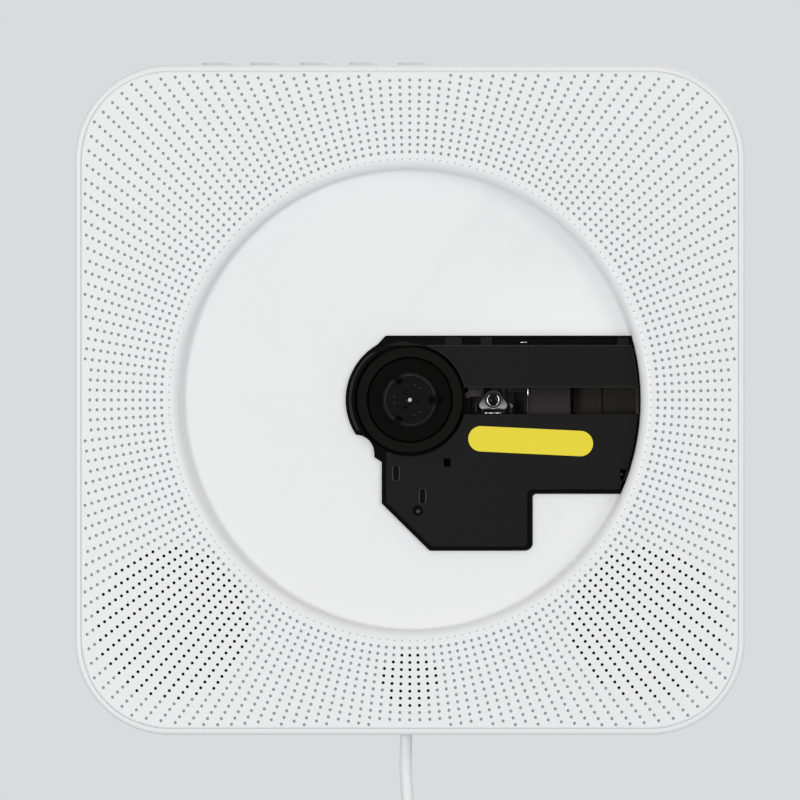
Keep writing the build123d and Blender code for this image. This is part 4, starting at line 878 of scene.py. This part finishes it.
# grey lip outside the black collar
outerLip, innerLip = (circle(radius, lensShape["x"]) for radius in lensShape["lip"])
collarLip = makePiece(
    "collarLip",
    sheet([outerLip, innerLip[::-1]], lensShape["lipLow"], lensShape["lipTop"], lensShape["lipBevel"]),
    [silverHolder, silverHolder], "lens",
)
# painted highlights on the rim of the lens cell inside the collar: bright arcs left and right, broken at the top and
# bottom
outerCell, innerCell = lensShape["cell"]
lensHighlightArcs = [
    arc(outerCell, first, last, lensShape["x"], 0, 8) + arc(innerCell, last, first, lensShape["x"], 0, 8)
    for first, last in lensShape["highlightArcs"]
]
lensHighlights = makePiece(
    "lensHighlights",
    sheet(lensHighlightArcs, lensShape["cellLow"], lensShape["cellTop"], lensShape["cellBevel"]),
    [nickelPlate, nickelPlate], "lens",
)

# edges of the pick-up's sheet metal, each as left, right, low, high
pickShape = {
    "tabs": [
        (29.15, 29.55, -3.7, -1.2), (29.5, 29.85, -2.1, -1.6), (22.0, 23.2, -4.1, -3.6),
        (23.35, 25.2, -4.1, -3.6), (25.35, 26.6, -4.1, -3.6), (34.32, 34.66, 1.3, 3.5),
    ],
    "tabLow": 31.5,
    "tabTop": 31.9,
    "tabBevel": 0.06,
    "edges": [
        (19.05, 19.4, -3.6, -0.9), (20.5, 20.75, 1.3, 3.6), (34.2, 34.42, -3.6, 0.9), (15.9, 17.5, 0.5, 2.2),
    ],
    "edgeLow": 31.45,
    "edgeTop": 31.85,
    "edgeBevel": 0.05,
    "bracket": (17.0, 20.7, 0.95, 4.2),
    "bracketLow": 31.2,
    "bracketTop": 31.84,
    "bracketBevel": 0.1,
    "web": [(27.4, 4.2), (28.9, 2.3), (34.3, 2.3), (34.3, 4.2)],
    "webLow": 31.0,
    "webTop": 31.3,
    "webBevel": 0.08,
}
pickTabs = makePiece(
    "pickTabs",
    sheet([box(*tab) for tab in pickShape["tabs"]], pickShape["tabLow"], pickShape["tabTop"], pickShape["tabBevel"]),
    [nickelPlate, nickelPlate], "pickup",
)
# light strips along the edges of the pick-up's sheet metal: painted highlights
pickHighlights = makePiece(
    "pickHighlights",
    sheet([box(*e) for e in pickShape["edges"]], pickShape["edgeLow"], pickShape["edgeTop"], pickShape["edgeBevel"]),
    [blackHighlight, blackHighlight], "pickup",
)
pickBracket = makePiece(
    "pickBracket",
    sheet([box(*pickShape["bracket"])], pickShape["bracketLow"], pickShape["bracketTop"], pickShape["bracketBevel"]),
    [brownBracket, blackFaintHighlight], "pickup",
)
pickWeb = makePiece(
    "pickWeb",
    sheet([pickShape["web"]], pickShape["webLow"], pickShape["webTop"], pickShape["webBevel"]),
    [blackDeck, blackFaintHighlight], "pickup",
)
glint = makePiece(
    "slotGlint",
    sheet([box(*stripShape["glint"])], stripShape["glintLow"], stripShape["glintTop"], stripShape["glintBevel"]),
    [nickelPlate, nickelPlate], "case",
)
# the chassis shows to the very end of the slot
endShape = {"plan": (65.9, 66.7, -4.1, 3.6), "low": 35.3, "top": 35.62}
slotEnd = makePiece(
    "slotEnd", sheet([box(*endShape["plan"])], endShape["low"], endShape["top"]), [brownCover], "case", smooth=False,
)
print("pick-up done")


# sticker on the deck
stickerShape = {
    "length": 36.4,
    "height": 7.4,
    "x": 35.22,
    "z": -12.03,
    "turn": -2.75,             # degrees
    "offWall": 35.93,
    "thick": 0.1,
}


def stickerPlan(shape):
    radius = shape["height"] / 2
    half = shape["length"] / 2 - radius
    rim = [
        point for side, first in ((1, -90), (-1, 90))
        for point in arc(radius, first, first + 180, side * half, 0, 6)
    ]
    tilt = math.radians(shape["turn"])
    return [
        (
            shape["x"] + x * math.cos(tilt) - z * math.sin(tilt),
            shape["z"] + x * math.sin(tilt) + z * math.cos(tilt),
        )
        for x, z in rim
    ]


sticker = makePiece(
    "deckSticker",
    sheet([stickerPlan(stickerShape)], stickerShape["offWall"], stickerShape["offWall"] + stickerShape["thick"]),
    [yellowVinyl], "case", smooth=False,
)
print("sticker done")


# light and surroundings: pale to the camera, and an even white to the surfaces
studio = {
    "wall": "D9DBDE",
    "world": 0.54,
    # each lamp as its place in metres, its width and its watts
    "lamps": {
        "key": ((-0.9, -2.3, -0.15), 0.6, 18.0),
        "fill": ((1.5, -1.9, 0.5), 1.2, 11.0),
        "back": ((0.6, 2.0, 1.2), 1.6, 16.5),
    },
    "floorColour": "D2D4D7",
    "floorHalf": 1.6,
    "floorMiddle": (0, 0.4, -0.262),
}
world = bpy.data.worlds.new("studio")
bpy.context.scene.world = world
world.use_nodes = True
worldTree = world.node_tree
worldTree.nodes.clear()
rays = addNode(worldTree, "ShaderNodeLightPath").outputs
seen = addNode(worldTree, "ShaderNodeMath", {0: rays["Is Camera Ray"], 1: rays["Is Glossy Ray"]}, operation="MAXIMUM")
clear = addNode(worldTree, "ShaderNodeMath", {0: seen.outputs[0], 1: rays["Is Transmission Ray"]}, operation="MAXIMUM")
around = addNode(worldTree, "ShaderNodeBackground", Strength=studio["world"])
around.inputs["Color"].default_value = (1, 1, 1, 1)
backdrop = addNode(worldTree, "ShaderNodeBackground", Strength=1.0)
backdrop.inputs["Color"].default_value = linearColour(studio["wall"])
both = addNode(
    worldTree, "ShaderNodeMixShader", {0: clear.outputs[0], 1: around.outputs[0], 2: backdrop.outputs[0]},
)
addNode(worldTree, "ShaderNodeOutputWorld", {0: both.outputs[0]})

for name, (place, width, power) in studio["lamps"].items():
    lampData = bpy.data.lights.new(name, "AREA")
    lampData.shape, lampData.size, lampData.energy = "DISK", width, power
    lamp = bpy.data.objects.new(name, lampData)
    bpy.context.scene.collection.objects.link(lamp)
    lamp.location = place
    lamp.rotation_euler = (-Vector(place)).to_track_quat("-Z", "Y").to_euler()

floorMesh = bmesh.new()
bmesh.ops.create_grid(
    floorMesh, x_segments=1, y_segments=1, size=studio["floorHalf"], matrix=Matrix.Translation(studio["floorMiddle"]),
)
floorData = bpy.data.meshes.new("floor")
floorMesh.to_mesh(floorData)
floorMesh.free()
floor = bpy.data.objects.new("floor", floorData)
bpy.context.scene.collection.objects.link(floor)
floorPaint, _, floorShader = newMaterial("paleFloor")
floorShader.inputs["Base Color"].default_value = linearColour(studio["floorColour"])
floorShader.inputs["Roughness"].default_value = 0.9
floorData.materials.append(floorPaint)
print("studio lit")

bpy.context.scene.view_settings.view_transform = "Standard"
